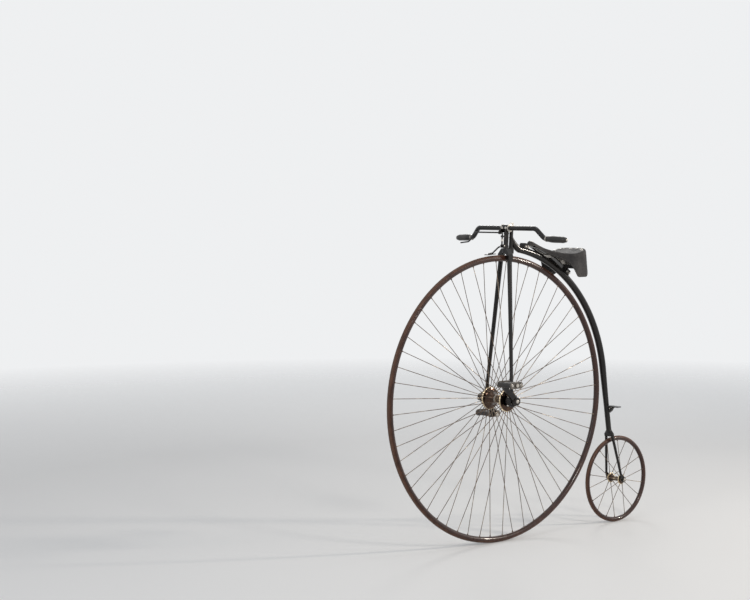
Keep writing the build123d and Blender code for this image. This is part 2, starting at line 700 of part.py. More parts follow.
# Spoon brake: a curved spoon just above the tyre, on an arm hinged in front of the pillar
spoon_r = WHEEL_R + SPOON_GAP
spoon_middle = (SPOON_START + SPOON_END) / 2
seat_x, seat_z = polar(spoon_r + SPOON_T, -SPOON_START - SPOON_SEAT)
with BuildPart() as brake_spoon:
    with BuildSketch(side_plane(SPOON_W / 2)):
        with BuildLine():
            under = [polar(spoon_r, -a) for a in (SPOON_START, spoon_middle, SPOON_END)]
            over = [polar(spoon_r + SPOON_T, -a) for a in (SPOON_END, spoon_middle, SPOON_START)]
            ThreePointArc(*under)
            Line(under[2], over[0])
            ThreePointArc(*over)
            Line(over[2], under[0])
        make_face()
    extrude(amount=SPOON_W)
    with BuildLine(Plane.XZ):
        FilletPolyline((hinge.X, hinge.Z), (hinge.X + ARM_LEAD, hinge.Z - ARM_FALL),
                       (seat_x - ARM_FOOT, seat_z + SPOON_T), (seat_x + ARM_FOOT, seat_z),
                       radius=ARM_FOOT)
    with BuildSketch(Plane(origin=(hinge.X, 0, hinge.Z), z_dir=(ARM_LEAD, 0, -ARM_FALL))):
        Circle(BRAKE_ROD_D / 2)
    sweep()
    for diameter, width in (
        (HINGE_BOSS_D, HINGE_BOSS_W),
        (HINGE_PIN_D, HINGE_BOSS_W + 2 * SEAT_GAP + 2 * HINGE_EAR_T),
    ):
        with BuildSketch(side_plane(width / 2)):
            with Locations((hinge.X, hinge.Z)):
                Circle(diameter / 2)
        extrude(amount=width)
save(brake_spoon, "brake_spoon")

# Brake lever: a rod through the guide down to the spoon's arm, and a lever under the right grip
rod_foot = CROWN_TOP_S + HINGE_RISE + BRAKE_ROD_D / 2 + SEAT_GAP
lever_s = BAR_S - LEVER_DROP
lever = [
    head_point(rod_x, 0, rod_foot),
    head_point(rod_x, 0, lever_s),
    head_point(rod_x, -BAR_STRAIGHT, lever_s),
    head_point(rod_x - BAR_SWEEP, -BAR_STRAIGHT - BAR_BEND_W, lever_s - BAR_DROP),
    head_point(rod_x - 2 * BAR_SWEEP, LEVER_SHORT - bar_end.Y, lever_s - BAR_DROP - LEVER_FALL),
]
with BuildPart() as brake_lever:
    with BuildLine():
        lever_path = FilletPolyline(*lever, radius=[LEVER_CORNER_R, LEVER_BEND_R, LEVER_BEND_R])
    with BuildSketch(Plane(origin=lever_path @ 0, z_dir=lever_path % 0)):
        Circle(BRAKE_ROD_D / 2)
    sweep()
save(brake_lever, "brake_lever")


def arc_station(angle):
    """A plane across the backbone's arc, at an angle behind the top of the wheel."""
    x, z = polar(BACKBONE_R, angle)
    return Plane(origin=(x, 0, z), x_dir=(0, 1, 0), z_dir=(cos(radians(angle)), 0, sin(radians(angle))))


# Neck: the spindle with a centre at each end, and the horn that turns back into the backbone
spindle_top = BAR_S - LUG_H / 2 - 2 * SEAT_GAP
bend = head_point(-STEER_OFFSET - NECK_BEND_BACK, 0, CROWN_TOP_S + NECK_BEND_RISE)
bend_dir = (cos(radians(NECK_BEND_LEAN)), 0, sin(radians(NECK_BEND_LEAN)))
with BuildPart() as neck:
    with BuildSketch(arc_station(BACKBONE_START)):
        Circle(BACKBONE_D / 2)
    with BuildSketch(Plane(origin=bend, x_dir=(0, 1, 0), z_dir=bend_dir)):
        Circle(NECK_BEND_D / 2)
    with BuildSketch(Plane(head_point(-STEER_OFFSET, 0, CROWN_TOP_S + NECK_TOP_RISE), (0, 1, 0), STEER.z_dir)):
        Circle(NECK_TOP_D / 2)
    loft()
    with BuildSketch(head_plan(CROWN_TOP_S - CONE_H + SEAT_GAP, -STEER_OFFSET)):
        Circle(CONE_TIP_D / 2)
    with BuildSketch(head_plan(CROWN_TOP_S + SEAT_GAP, -STEER_OFFSET)):
        Circle(CONE_D / 2)
    loft(ruled=True)
    with BuildSketch(head_plan(CROWN_TOP_S + SEAT_GAP, -STEER_OFFSET)):
        Circle(CONE_D / 2)
    extrude(amount=COLLAR_H)
    with BuildSketch(head_plan(CROWN_TOP_S, -STEER_OFFSET)):
        Circle(SPINDLE_D / 2)
    extrude(amount=spindle_top - CROWN_TOP_S)
    with BuildSketch(head_plan(spindle_top, -STEER_OFFSET)):
        Circle(BOLT_D / 2 + SEAT_GAP)
    with BuildSketch(head_plan(spindle_top - CONE_H, -STEER_OFFSET)):
        Circle(BOLT_TIP_D / 2 + SEAT_GAP)
    loft(ruled=True, mode=Mode.SUBTRACT)
save(neck, "neck")

# The tail runs straight down to a crown that ends a gap above the rear tyre
bend_x, bend_z = polar(BACKBONE_R, BACKBONE_BEND_END)
down = Vector(-cos(radians(BACKBONE_BEND_END)), 0, -sin(radians(BACKBONE_BEND_END)))
nearest = (bend_x - REAR_X) * -down.X + (bend_z - REAR_Z) * -down.Z
miss = (bend_x - REAR_X) ** 2 + (bend_z - REAR_Z) ** 2 - nearest ** 2
crown_foot = nearest - sqrt((REAR_R + REAR_CROWN_GAP) ** 2 - miss)
crown_top = crown_foot - REAR_CROWN_H


def tail(distance):
    """The plane across the straight tail at a distance below the end of the arc."""
    return Plane(origin=Vector(bend_x, 0, bend_z) + down * distance, x_dir=(0, 1, 0), z_dir=down)


# The backbone, and a thicker copy that cuts a seat for what stands on it
tubes = {}
for name, grow in (("backbone", 0), ("seat", SEAT_GAP)):
    with BuildPart() as tube:
        with BuildSketch(arc_station(BACKBONE_START)):
            Circle(BACKBONE_D / 2 + grow)
        revolve(axis=Axis((AXLE_X, 0, AXLE_Z), (0, -1, 0)), revolution_arc=BACKBONE_BEND_END - BACKBONE_START)
        with BuildSketch(tail(0)):
            Circle(BACKBONE_D / 2 + grow)
        with BuildSketch(tail(TAPER_LENGTH)):
            Circle(TAIL_D / 2 + grow)
        loft(ruled=True)
        with BuildSketch(tail(TAPER_LENGTH)):
            Circle(TAIL_D / 2 + grow)
        extrude(amount=crown_top - TAPER_LENGTH)
    tubes[name] = tube
save(tubes["backbone"], "backbone")

# Rear fork: a forged crown above the tyre, and two straight blades that end in eyes on the axle
crown_body = crown_foot - REAR_CROWN_BODY
with BuildPart() as rear_crown:
    with BuildSketch(tail(crown_top)):
        Circle(TAIL_D / 2)
    with BuildSketch(tail(crown_body)):
        SlotOverall(REAR_CROWN_W, REAR_CROWN_L)
    loft(ruled=True)
    with BuildSketch(tail(crown_body)):
        SlotOverall(REAR_CROWN_W, REAR_CROWN_L)
    extrude(amount=REAR_CROWN_BODY)
save(rear_crown, "rear_crown")

blade_top = tail(crown_foot).origin
blade_foot = Vector(REAR_X + REAR_END_LEAD, 0, REAR_Z + REAR_END_RISE)
for side, sign in (("left", 1), ("right", -1)):
    start = Vector(blade_top.X, sign * REAR_BLADE_Y, blade_top.Z)
    finish = Vector(blade_foot.X, sign * REAR_END_Y, blade_foot.Z)
    with BuildPart() as blade:
        with BuildSketch(Plane(origin=start, x_dir=(0, 1, 0), z_dir=down)):
            Circle(REAR_BLADE_TOP_D / 2)
        with BuildSketch(Plane(origin=finish, x_dir=(0, 1, 0), z_dir=down)):
            Circle(REAR_BLADE_FOOT_D / 2)
        loft(ruled=True)
        with BuildSketch(side_plane(sign * REAR_END_Y + REAR_END_T / 2)):
            with Locations((REAR_X, REAR_Z)):
                Circle(REAR_END_R)
            with Locations((finish.X, finish.Z)):
                Circle(REAR_BLADE_FOOT_D / 2)
            make_hull()
            with Locations((REAR_X, REAR_Z)):
                Circle(REAR_AXLE_D / 2 + PRESSED_FIT, mode=Mode.SUBTRACT)
        extrude(amount=REAR_END_T)
    save(blade, f"rear_blade_{side}")

nut_y = REAR_END_Y + REAR_END_T / 2 + SEAT_GAP
rear_axle_y = nut_y + REAR_NUT_T + REAR_AXLE_SHOW
with BuildPart() as rear_axle:
    with BuildSketch(side_plane(rear_axle_y)):
        with Locations((REAR_X, REAR_Z)):
            Circle(REAR_AXLE_D / 2)
    extrude(amount=2 * rear_axle_y)
    for y in (nut_y + REAR_NUT_T, -nut_y):
        with BuildSketch(side_plane(y)):
            with Locations((REAR_X, REAR_Z)):
                RegularPolygon(REAR_NUT_R, 6)
        extrude(amount=REAR_NUT_T)
save(rear_axle, "rear_axle")

# Step: a grooved tread on a bracket that curves out from the tail
tread_at = tail(crown_top - STEP_UP).origin
bracket_z = tread_at.Z - STEP_T
with BuildPart() as step:
    with BuildSketch(Plane(origin=(tread_at.X - STEP_ARM_T, 0, bracket_z), x_dir=(0, 1, 0), z_dir=(1, 0, 0))):
        with BuildLine():
            Polyline((0, -STEP_ARM_H), (0, JOINED), (STEP_ARM_REACH, JOINED), (STEP_ARM_REACH, 0))
            ThreePointArc((STEP_ARM_REACH, 0), (STEP_CURVE_Y, -STEP_CURVE_DROP), (TAIL_D / 2, -STEP_ARM_H))
            Line((TAIL_D / 2, -STEP_ARM_H), (0, -STEP_ARM_H))
        make_face()
    extrude(amount=STEP_ARM_T)
    with BuildSketch(Plane.XY.offset(bracket_z)):
        with Locations((tread_at.X, STEP_Y + STEP_L / 2)):
            RectangleRounded(STEP_W, STEP_L, STEP_CORNER)
    extrude(amount=STEP_T)
    with BuildSketch(Plane.XY.offset(tread_at.Z)):
        with Locations((tread_at.X, STEP_Y + STEP_L / 2)):
            with GridLocations(0, STEP_L / (GROOVE_COUNT + 1), 1, GROOVE_COUNT):
                Rectangle(STEP_W - 2 * GROOVE_MARGIN, GROOVE_W)
    extrude(amount=-GROOVE_DEPTH, mode=Mode.SUBTRACT)
    add(tubes["seat"].part, mode=Mode.SUBTRACT)
save(step, "step")


def leaf_r(angle):
    """The radius of the underside of the leaf at an angle behind the top of the wheel."""
    share = (angle - SPRING_START) / (SPRING_END - SPRING_START)
    return SURFACE_R + SPRING_LIFT + SPRING_BOW * sin(share * radians(180))


def leaf_profile(gap):
    """The leaf's side view, grown by a gap on both faces."""
    middle = (SPRING_START + SPRING_END) / 2
    low = [polar(leaf_r(a) - gap, a) for a in (SPRING_START, middle, SPRING_END)]
    high = [polar(leaf_r(a) + SPRING_T + gap, a) for a in (SPRING_START, middle, SPRING_END)]
    with BuildLine() as outline:
        ThreePointArc(*low)
        Line(low[2], high[2])
        ThreePointArc(*reversed(high))
        Line(high[0], low[0])
    make_face(outline.edges())


# Saddle spring: a flat leaf bowed over the backbone, and a thicker copy that cuts its seats
leaves = {}
for name, grow in (("leaf", 0), ("seat", SEAT_GAP)):
    with BuildPart() as leaf:
        with BuildSketch(side_plane(SPRING_W / 2 + grow)):
            leaf_profile(grow)
        extrude(amount=SPRING_W + 2 * grow)
    leaves[name] = leaf
save(leaves["leaf"], "saddle_spring")

# Each clip stands on the backbone and wraps the leaf
with BuildPart() as spring_clips:
    root_r = SURFACE_R - BACKBONE_D / 4
    for angle in (SPRING_START + CLIP_TURN, SPRING_END - CLIP_TURN):
        x, z = polar(root_r, angle)
        out = (-sin(radians(angle)), 0, cos(radians(angle)))
        with BuildSketch(Plane(origin=(x, 0, z), x_dir=(0, 1, 0), z_dir=out)):
            RectangleRounded(SPRING_W + 2 * CLIP_T, CLIP_L, CLIP_T)
        extrude(amount=leaf_r(angle) + SPRING_T + CLIP_T - root_r)
    add(leaves["seat"].part, mode=Mode.SUBTRACT)
    add(tubes["seat"].part, mode=Mode.SUBTRACT)
save(spring_clips, "spring_clips")


def saddle_outline(inset):
    """The saddle's plan, narrow at the nose and wide at the back, drawn in by an inset."""
    nose_w, tail_w = SADDLE_NOSE_W / 2 - inset, SADDLE_TAIL_W / 2 - inset
    nose, back = SADDLE_NOSE - inset, -SADDLE_TAIL + inset
    hip, corner = SADDLE_TAIL_W / 2 * HIP_SHARE - inset, TAIL_CORNER - inset
    bevel = corner * (1 - sqrt(0.5))
    with BuildLine() as outline:
        for sign in (1, -1):
            Line((nose - nose_w, sign * nose_w), (NOSE_LENGTH, sign * nose_w))
            Spline((NOSE_LENGTH, sign * nose_w), (0, sign * hip), (-HIP_BACK, sign * tail_w),
                   tangents=((-1, 0), (-1, 0)))
            Line((-HIP_BACK, sign * tail_w), (back + corner, sign * tail_w))
            ThreePointArc((back + corner, sign * tail_w), (back + bevel, sign * (tail_w - bevel)),
                          (back, sign * (tail_w - corner)))
        Line((back, tail_w - corner), (back, -tail_w + corner))
        ThreePointArc((nose - nose_w, nose_w), (nose, 0), (nose - nose_w, -nose_w))
    make_face(outline.edges())


# Nested forms of the saddle, each drawn in from the last: flared below and closed by the curve of
# its top, from which the leather and the cantle plate are cut
REACH = 30.0
SADDLE_FRONT, SADDLE_BACK = SADDLE_NOSE + REACH, -SADDLE_TAIL - REACH
FRONT_Z, BACK_Z = NOSE_RISE + REACH * NOSE_SLOPE, BACK_RISE + REACH * BACK_SLOPE
CANTLE_OUT = LEATHER_T + SEAT_GAP
CANTLE_IN = CANTLE_OUT + CANTLE_T
forms = {}
for inset in (0, LEATHER_T, CANTLE_OUT, CANTLE_IN):
    with BuildPart() as form:
        for z in (NOSE_RISE + REACH, -SKIRT_DROP - REACH):
            with BuildSketch(Plane.XY.offset(z)):
                saddle_outline(inset + z * tan(radians(SKIRT_FLARE)))
        loft(ruled=True)
        with BuildSketch(side_plane(SADDLE_TAIL_W)):
            with BuildLine() as under:
                Spline((SADDLE_FRONT, FRONT_Z - inset), (SADDLE_NOSE / 2, NOSE_MIDDLE_RISE - inset),
                       (0, -inset), (DIP_X, -DIP - inset), (SADDLE_BACK, BACK_Z - inset))
                Polyline((SADDLE_BACK, BACK_Z - inset), (SADDLE_BACK, -2 * SKIRT_DROP),
                         (SADDLE_FRONT, -2 * SKIRT_DROP), (SADDLE_FRONT, FRONT_Z - inset))
            make_face(under.edges())
        extrude(amount=2 * SADDLE_TAIL_W, mode=Mode.INTERSECT)
        top_face = form.faces().sort_by(Axis.Z)[-1]
        fillet(top_face.edges(), TOP_ROUND - inset * ROUND_SHARE)
    forms[inset] = form

# Saddle: a leather shell open underneath, shallow at the nose and deep at the back
with BuildPart() as saddle:
    add(forms[0].part)
    add(forms[LEATHER_T].part, mode=Mode.SUBTRACT)
    with BuildSketch(side_plane(SADDLE_TAIL_W)):
        with BuildLine() as skirt:
            low = -SKIRT_DROP
            corner_z = low + SKIRT_CORNER
            front_low = (-SKIRT_FRONT - SKIRT_TURN, low)
            front_high = (-SKIRT_FRONT + SKIRT_SWEEP, -SKIRT_SIDE_DROP)
            Polyline((SADDLE_FRONT, 2 * NOSE_RISE), (SADDLE_BACK, 2 * NOSE_RISE), (SADDLE_BACK, corner_z),
                     (-SADDLE_TAIL, corner_z), (-SADDLE_TAIL + SKIRT_CORNER, low), front_low)
            ThreePointArc(front_low, (-SKIRT_FRONT, -SKIRT_CURVE_DROP), front_high)
            Polyline(front_high, (NOSE_EDGE_X, NOSE_EDGE_Z), (NOSE_LIP_X, NOSE_LIP_Z),
                     (SADDLE_FRONT, FRONT_Z - NOSE_DEPTH), (SADDLE_FRONT, 2 * NOSE_RISE))
        make_face(skirt.edges())
    extrude(amount=2 * SADDLE_TAIL_W, mode=Mode.INTERSECT)
save(saddle, "saddle")

# Cradle: a bent plate inside the back of the leather and a plate in its nose, joined by two wires
# that a clamp holds to the leaf
with BuildPart() as saddle_frame:
    add(forms[CANTLE_OUT].part)
    add(forms[CANTLE_IN].part, mode=Mode.SUBTRACT)
    with BuildSketch(side_plane(SADDLE_TAIL_W)):
        with Locations(((-CANTLE_FRONT + SADDLE_BACK) / 2, BACK_RISE - CANTLE_DROP)):
            Rectangle(-SADDLE_BACK - CANTLE_FRONT, 2 * CANTLE_DROP)
    extrude(amount=2 * SADDLE_TAIL_W, mode=Mode.INTERSECT)
    for sign in (1, -1):
        with BuildLine() as route:
            FilletPolyline(*[(x, sign * y, z) for x, y, z in WIRE_STATIONS], radius=WIRE_BEND_R)
        with BuildSketch(Plane(origin=route.wire() @ 0, z_dir=route.wire() % 0)):
            Circle(WIRE_D / 2)
        sweep(path=route.wire())
    nose_x, nose_y, nose_z = WIRE_STATIONS[0]
    with BuildSketch(Plane.XY.offset(nose_z - NOSE_PLATE_T / 2)):
        with Locations((nose_x, 0)):
            RectangleRounded(NOSE_PLATE_L, NOSE_PLATE_W, NOSE_PLATE_T)
    extrude(amount=NOSE_PLATE_T)
    clamp_low = leaf_r(SADDLE_ANGLE) - SEAT_GAP - CLIP_T
    x, z = polar(clamp_low, SADDLE_ANGLE)
    out = (-sin(radians(SADDLE_ANGLE)), 0, cos(radians(SADDLE_ANGLE)))
    with BuildSketch(Plane(origin=(x, 0, z), x_dir=(0, 1, 0), z_dir=out)):
        RectangleRounded(CLAMP_W, CLAMP_L, CLIP_T)
    extrude(amount=SPRING_T + 2 * CLIP_T + 2 * SEAT_GAP)
    add(leaves["seat"].part, mode=Mode.SUBTRACT)
    add(tubes["seat"].part, mode=Mode.SUBTRACT)
save(saddle_frame, "saddle_frame")
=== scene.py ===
import json
import math

import bmesh
import bpy
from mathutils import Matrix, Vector, noise


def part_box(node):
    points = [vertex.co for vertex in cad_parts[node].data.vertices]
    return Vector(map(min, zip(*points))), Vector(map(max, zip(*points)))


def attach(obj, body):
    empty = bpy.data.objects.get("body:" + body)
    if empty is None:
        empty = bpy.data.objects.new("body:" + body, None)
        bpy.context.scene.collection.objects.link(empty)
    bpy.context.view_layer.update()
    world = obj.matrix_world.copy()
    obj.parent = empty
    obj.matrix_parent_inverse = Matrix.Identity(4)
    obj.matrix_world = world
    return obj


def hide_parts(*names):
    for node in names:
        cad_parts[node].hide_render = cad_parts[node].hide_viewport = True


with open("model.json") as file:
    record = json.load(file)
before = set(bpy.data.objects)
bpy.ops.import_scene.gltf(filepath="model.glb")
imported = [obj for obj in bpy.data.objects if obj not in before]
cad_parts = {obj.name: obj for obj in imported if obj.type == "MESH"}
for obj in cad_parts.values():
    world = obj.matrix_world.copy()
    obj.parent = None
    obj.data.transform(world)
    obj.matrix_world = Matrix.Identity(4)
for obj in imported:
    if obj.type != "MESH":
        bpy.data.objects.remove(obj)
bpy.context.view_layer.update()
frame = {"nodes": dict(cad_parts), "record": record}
nodes = frame["nodes"]
slot_of = {part["node"]: part["material_slot"] for part in frame["record"]["subparts"]}

# Sizes shared with the CAD part, in metres
FLOOR_Z = -1.33056
HEAD_TILT = math.radians(3.3)
SPOKES = {
    # wheel: count, phases left and right, flange radius, flange y, rim's inner radius, wire radius
    "front": (28, (267.9, 261.4), 0.0463, 0.058, 0.632, 0.0015),
    "rear": (9, (211.3, 191.3), 0.0233, 0.034, 0.1888, 0.0014),
}
SPOKE_SPREAD = 0.003
WHEEL_R = {"front": 0.6604, "rear": 0.2113}
TYRE_W = {"front": 0.022, "rear": 0.017}
BEARING_Y = 0.087
BEARING_FACE_Y = 0.104
BEARING_SCREWS_R = 0.0221
CRANK_IN_Y = 0.108
CRANK_OUT_Y = 0.120
CRANK_THROW = 0.125
COTTER_Y = 0.116
COTTER_IN = 0.009
AXLE_END_Y = 0.127
REAR_AXLE_END_Y = 0.0613
REAR_WASHERS_Y = (0.0395, 0.0455)
ROD_INSET = 0.0105
ROD_SHOW = 0.0025
BACKBONE_GAP = 0.0195
BACKBONE_D = 0.032
SURFACE_R = WHEEL_R["front"] + BACKBONE_GAP + BACKBONE_D
SPRING_LIFT = 0.006
SPRING_BOW = 0.009
SPRING_T = 0.005
CLAMP_T = 0.0043
CLAMP_BOLT_Y = 0.0195
CLIP_BOLT_REACH = 0.008
BAR_RING_Y = 0.0205
HINGE_END_Y = 0.0103

# Places at the steering head in millimetres: up along the fork line from the axle, and ahead of that line
BAR_S = 784.4
HINGE_S = 701.4
ADJUSTER_S = 722
RINGS_S = (694.5, 760.5)
BAR_BOLT_X, BAR_BOLT_Y = 16.4, 12
HINGE_X = 18
BRAKE_ROD_X = 25
NECK_BACK_X = -44.2

# Angles behind the top of the front wheel, and the left crank's angle above level, in degrees
SPRING_START = 11.2
SPRING_END = 38.3
CLIP_TURN = 1.6
SADDLE_ANGLE = 26.2
CRANK_ANGLE = 44.0

# The turned forms that stand for the wheels' nodes. The front hub's lip is wider than its CAD flange
HUB_LIP = {"front": 0.0517, "rear": 0.023}
COLLAR_REACH = {"front": 0.0051, "rear": -0.0003}
TURNED_SIDES = {"front": 288, "rear": 176}
SEAM = 0.00001
RIMS = {
    # wheel: half the tyre's width, the rim's depth and half its width, in millimetres
    "front": (11.0, 17.4, 13.0),
    "rear": (8.5, 14.0, 10.0),
}
HUBS = {
    # (y, radius) from the middle out, in millimetres
    "front": [
        (0, 15.4), (3.5, 15.4), (4.2, 17.2), (6.8, 17.6), (8.2, 16.0), (14, 16.5), (20, 17.6), (26, 19.3),
        (32, 21.8), (37, 24.6), (41.5, 28.0), (45.2, 31.8), (48.2, 36.0), (50.4, 40.2), (51.8, 44.0),
        (52.6, 47.0), (53.4, 49.4), (54.6, 50.8), (56.2, 51.5), (58.0, 51.7), (59.8, 51.4), (61.2, 50.4),
        (62.0, 48.8), (62.2, 46.6), (61.9, 44.6), (62.6, 42.4), (62.3, 39.6), (63.2, 35.0), (64.3, 28.5),
        (64.9, 24.0), (64.2, 22.6), (64.4, 20.2), (65.0, 19.0), (66.0, 18.2), (66.0, 9.05),
    ],
    "rear": [
        (0, 10.5), (2.4, 10.5), (3.0, 11.5), (4.6, 11.7), (5.6, 10.9), (12, 11.4), (19, 12.8), (25, 14.6),
        (29.5, 16.4), (31.0, 17.2), (31.5, 18.4), (31.7, 21.6), (32.2, 23.0), (35.9, 23.0), (36.5, 22.2),
        (36.7, 20.6), (37.2, 17.5), (37.9, 14.6), (38.1, 12.6), (38.8, 12.0), (39.0, 11.2), (39.0, 5.08),
    ],
}
BEARING_CASE = [
    (101.0, 9.15), (101.0, 16.6), (101.4, 17.2), (103.6, 19.6), (104.0, 20.4), (104.0, 23.4), (103.5, 24.4),
    (98.5, 29.4), (97.6, 30.0), (88.2, 30.0), (87.7, 29.5), (86.3, 29.5), (85.8, 30.0), (76.4, 30.0),
    (75.5, 29.4), (70.5, 24.4), (70.0, 23.4), (70.0, 9.15),
]


def middle(node):
    """The middle of a CAD node's box."""
    lo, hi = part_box(node)
    return (Vector(lo) + Vector(hi)) / 2


def around(sides):
    """Angles once round."""
    return [math.tau * k / sides for k in range(sides)]


def round_axle(degrees):
    """(outward, onward) at an angle round an axle, from straight ahead towards the top."""
    a = math.radians(degrees)
    return Vector((math.cos(a), 0, math.sin(a))), Vector((-math.sin(a), 0, math.cos(a)))


def quarter(steps):
    """Angles from zero to a right angle."""
    return [math.pi / 2 * k / steps for k in range(steps + 1)]


AXLE = middle("front_axle")
REAR = middle("rear_axle")
WHEEL_AT = {"front": AXLE, "rear": REAR}
SIDES = (("left", 1), ("right", -1))
UP = Vector((-math.sin(HEAD_TILT), 0, math.cos(HEAD_TILT)))
AHEAD = Vector((math.cos(HEAD_TILT), 0, math.sin(HEAD_TILT)))
LEFT = Vector((0, 1, 0))
OUTWARD = (LEFT, -LEFT)


def head_point(x, y, s):
    """A point ahead of the fork line, to the left of it and up along it from the axle, in millimetres."""
    return AXLE + (AHEAD * x + LEFT * y + UP * s) / 1000


def add_object(name, data):
    """A new object in the scene."""
    obj = bpy.data.objects.new(name, data)
    bpy.context.collection.objects.link(obj)
    return obj


# Camera at the photograph's place, looking along (-0.628, -0.778) and down by its pitch
cam = add_object("camera", bpy.data.cameras.new("camera"))
bpy.context.scene.camera = cam
cam.data.sensor_width = 36.0
cam.data.lens = 79.06
cam.location = (5.490, 5.490, 0.217)
PITCH = math.radians(3.29)
look = Vector((-0.628 * math.cos(PITCH), -0.778 * math.cos(PITCH), -math.sin(PITCH)))
cam.rotation_euler = look.to_track_quat("-Z", "Y").to_euler()


# Materials
# The cosine between a rounded and a real normal, where wear begins and where it is full
FLAT, SHARP = 0.985, 0.86


class Nodes:
    """A material's node tree with short ways to add nodes. Sizes are in metres, and scales per metre."""

    def __init__(self, name, colour, roughness, metallic=0.0, coat=0.0, coat_roughness=0.1, specular=0.5,
                 sheen=0.0):
        self.material = bpy.data.materials.new(name)
        self.material.use_nodes = True
        self.tree = self.material.node_tree
        self.shader = self.tree.nodes["Principled BSDF"]
        for socket, value in (
            ("Base Color", (*colour, 1)), ("Roughness", roughness), ("Metallic", metallic),
            ("Coat Weight", coat), ("Coat Roughness", coat_roughness), ("Specular IOR Level", specular),
            ("Sheen Weight", sheen),
        ):
            self.shader.inputs[socket].default_value = value
        self.place = self.add("ShaderNodeTexCoord").outputs["Object"]

    def add(self, kind, **settings):
        node = self.tree.nodes.new(kind)
        for key, value in settings.items():
            setattr(node, key, value)
        return node

    def join(self, value, socket):
        """Links an output, or writes a plain value, into a socket."""
        if isinstance(value, bpy.types.NodeSocket):
            self.tree.links.new(value, socket)
        else:
            socket.default_value = value

    def placed(self, kind, at, values, **settings):
        """The outputs of a node that reads a place, with values for its other sockets."""
        node = self.add(kind, **settings)
        self.join(at or self.place, node.inputs["Vector"])
        for socket, value in values.items():
            node.inputs[socket].default_value = value
        return node.outputs

    def noise(self, scale, detail=3.0, rough=0.55, at=None, distortion=0.0):
        values = {"Scale": scale, "Detail": detail, "Roughness": rough, "Distortion": distortion}
        return self.placed("ShaderNodeTexNoise", at, values)["Fac"]

    def cells(self, scale, at=None):
        """The distance to the nearest edge between cells."""
        outputs = self.placed("ShaderNodeTexVoronoi", at, {"Scale": scale}, feature="DISTANCE_TO_EDGE")
        return outputs["Distance"]

    def stretch(self, x, y, z, at=None):
        return self.placed("ShaderNodeMapping", at, {"Scale": (x, y, z)})["Vector"]

    def combine(self, *parts):
        node = self.add("ShaderNodeCombineXYZ")
        for part, socket in zip(parts, node.inputs):
            self.join(part, socket)
        return node.outputs[0]

    def range(self, value, low, high, to_low=0.0, to_high=1.0):
        node = self.add("ShaderNodeMapRange", clamp=True)
        self.join(value, node.inputs["Value"])
        for key, number in (("From Min", low), ("From Max", high), ("To Min", to_low), ("To Max", to_high)):
            node.inputs[key].default_value = number
        return node.outputs["Result"]

    def math(self, kind, a, b=0.0):
        node = self.add("ShaderNodeMath", operation=kind)
        self.join(a, node.inputs[0])
        self.join(b, node.inputs[1])
        return node.outputs[0]

    def times(self, a, b):
        return self.math("MULTIPLY", a, b)

    def plus(self, a, b):
        return self.math("ADD", a, b)

    def mix(self, share, a, b):
        node = self.add("ShaderNodeMix", data_type="RGBA")
        self.join(share, node.inputs[0])
        for value, socket in ((a, node.inputs[6]), (b, node.inputs[7])):
            self.join(value if isinstance(value, bpy.types.NodeSocket) else (*value, 1), socket)
        return node.outputs[2]

    def edges(self, radius):
        """Near 1 on edges sharper than a radius."""
        bevel = self.add("ShaderNodeBevel", samples=4)
        bevel.inputs["Radius"].default_value = radius
        dot = self.add("ShaderNodeVectorMath", operation="DOT_PRODUCT")
        self.join(bevel.outputs[0], dot.inputs[0])
        self.join(self.add("ShaderNodeNewGeometry").outputs["Normal"], dot.inputs[1])
        return self.range(dot.outputs["Value"], FLAT, SHARP)

    def turned(self, centre):
        """(radius, angle, y) about an axle that lies along Y."""
        away = self.add("ShaderNodeVectorMath", operation="SUBTRACT")
        self.join(self.place, away.inputs[0])
        away.inputs[1].default_value = centre
        parts = self.add("ShaderNodeSeparateXYZ")
        self.join(away.outputs[0], parts.inputs[0])
        x, y, z = (parts.outputs[k] for k in "XYZ")
        radius = self.math("SQRT", self.plus(self.times(x, x), self.times(z, z)))
        return radius, self.math("ARCTAN2", z, x), y

    def colour(self, value):
        self.join(value, self.shader.inputs["Base Color"])

    def rough(self, value):
        self.join(value, self.shader.inputs["Roughness"])

    def metal(self, value):
        self.join(value, self.shader.inputs["Metallic"])

    def bump(self, *layers):
        """Layers of (height, distance in metres), one over the other."""
        last = None
        for height, distance in layers:
            node = self.add("ShaderNodeBump")
            node.inputs["Strength"].default_value = 1.0
            node.inputs["Distance"].default_value = distance
            self.join(height, node.inputs["Height"])
            if last:
                self.join(last, node.inputs["Normal"])
            last = node.outputs["Normal"]
        self.join(last, self.shader.inputs["Normal"])


def enamel():
    """Gloss black enamel: brushed on thick, dusty, and rubbed through to brown steel on its edges."""
    m = Nodes("enamel", (0.009, 0.008, 0.0075), 0.22, coat=0.28, coat_roughness=0.05, specular=0.2)
    cloud = m.noise(7, 4)
    dust = m.range(m.noise(38, 6, 0.7), 0.52, 0.78)
    specks = m.range(m.noise(900, 2, 0.5), 0.66, 0.72)
    worn = m.times(m.edges(0.0016), m.range(m.noise(160, 5, 0.7), 0.44, 0.6))
    base = m.mix(m.range(cloud, 0.35, 0.65), (0.0058, 0.0052, 0.0054), (0.0125, 0.0105, 0.0095))
    base = m.mix(m.times(dust, 0.12), base, (0.055, 0.045, 0.036))
    base = m.mix(m.times(specks, 0.3), base, (0.1, 0.085, 0.065))
    m.colour(m.mix(worn, base, (0.13, 0.095, 0.07)))
    m.rough(m.plus(m.range(cloud, 0.3, 0.7, 0.15, 0.27), m.times(dust, 0.16)))
    m.metal(m.times(worn, 0.8))
    m.bump((m.noise(260, 2, 0.4), 0.00012), (m.noise(1500, 2), 0.00002), (specks, 0.00004))
    return m.material


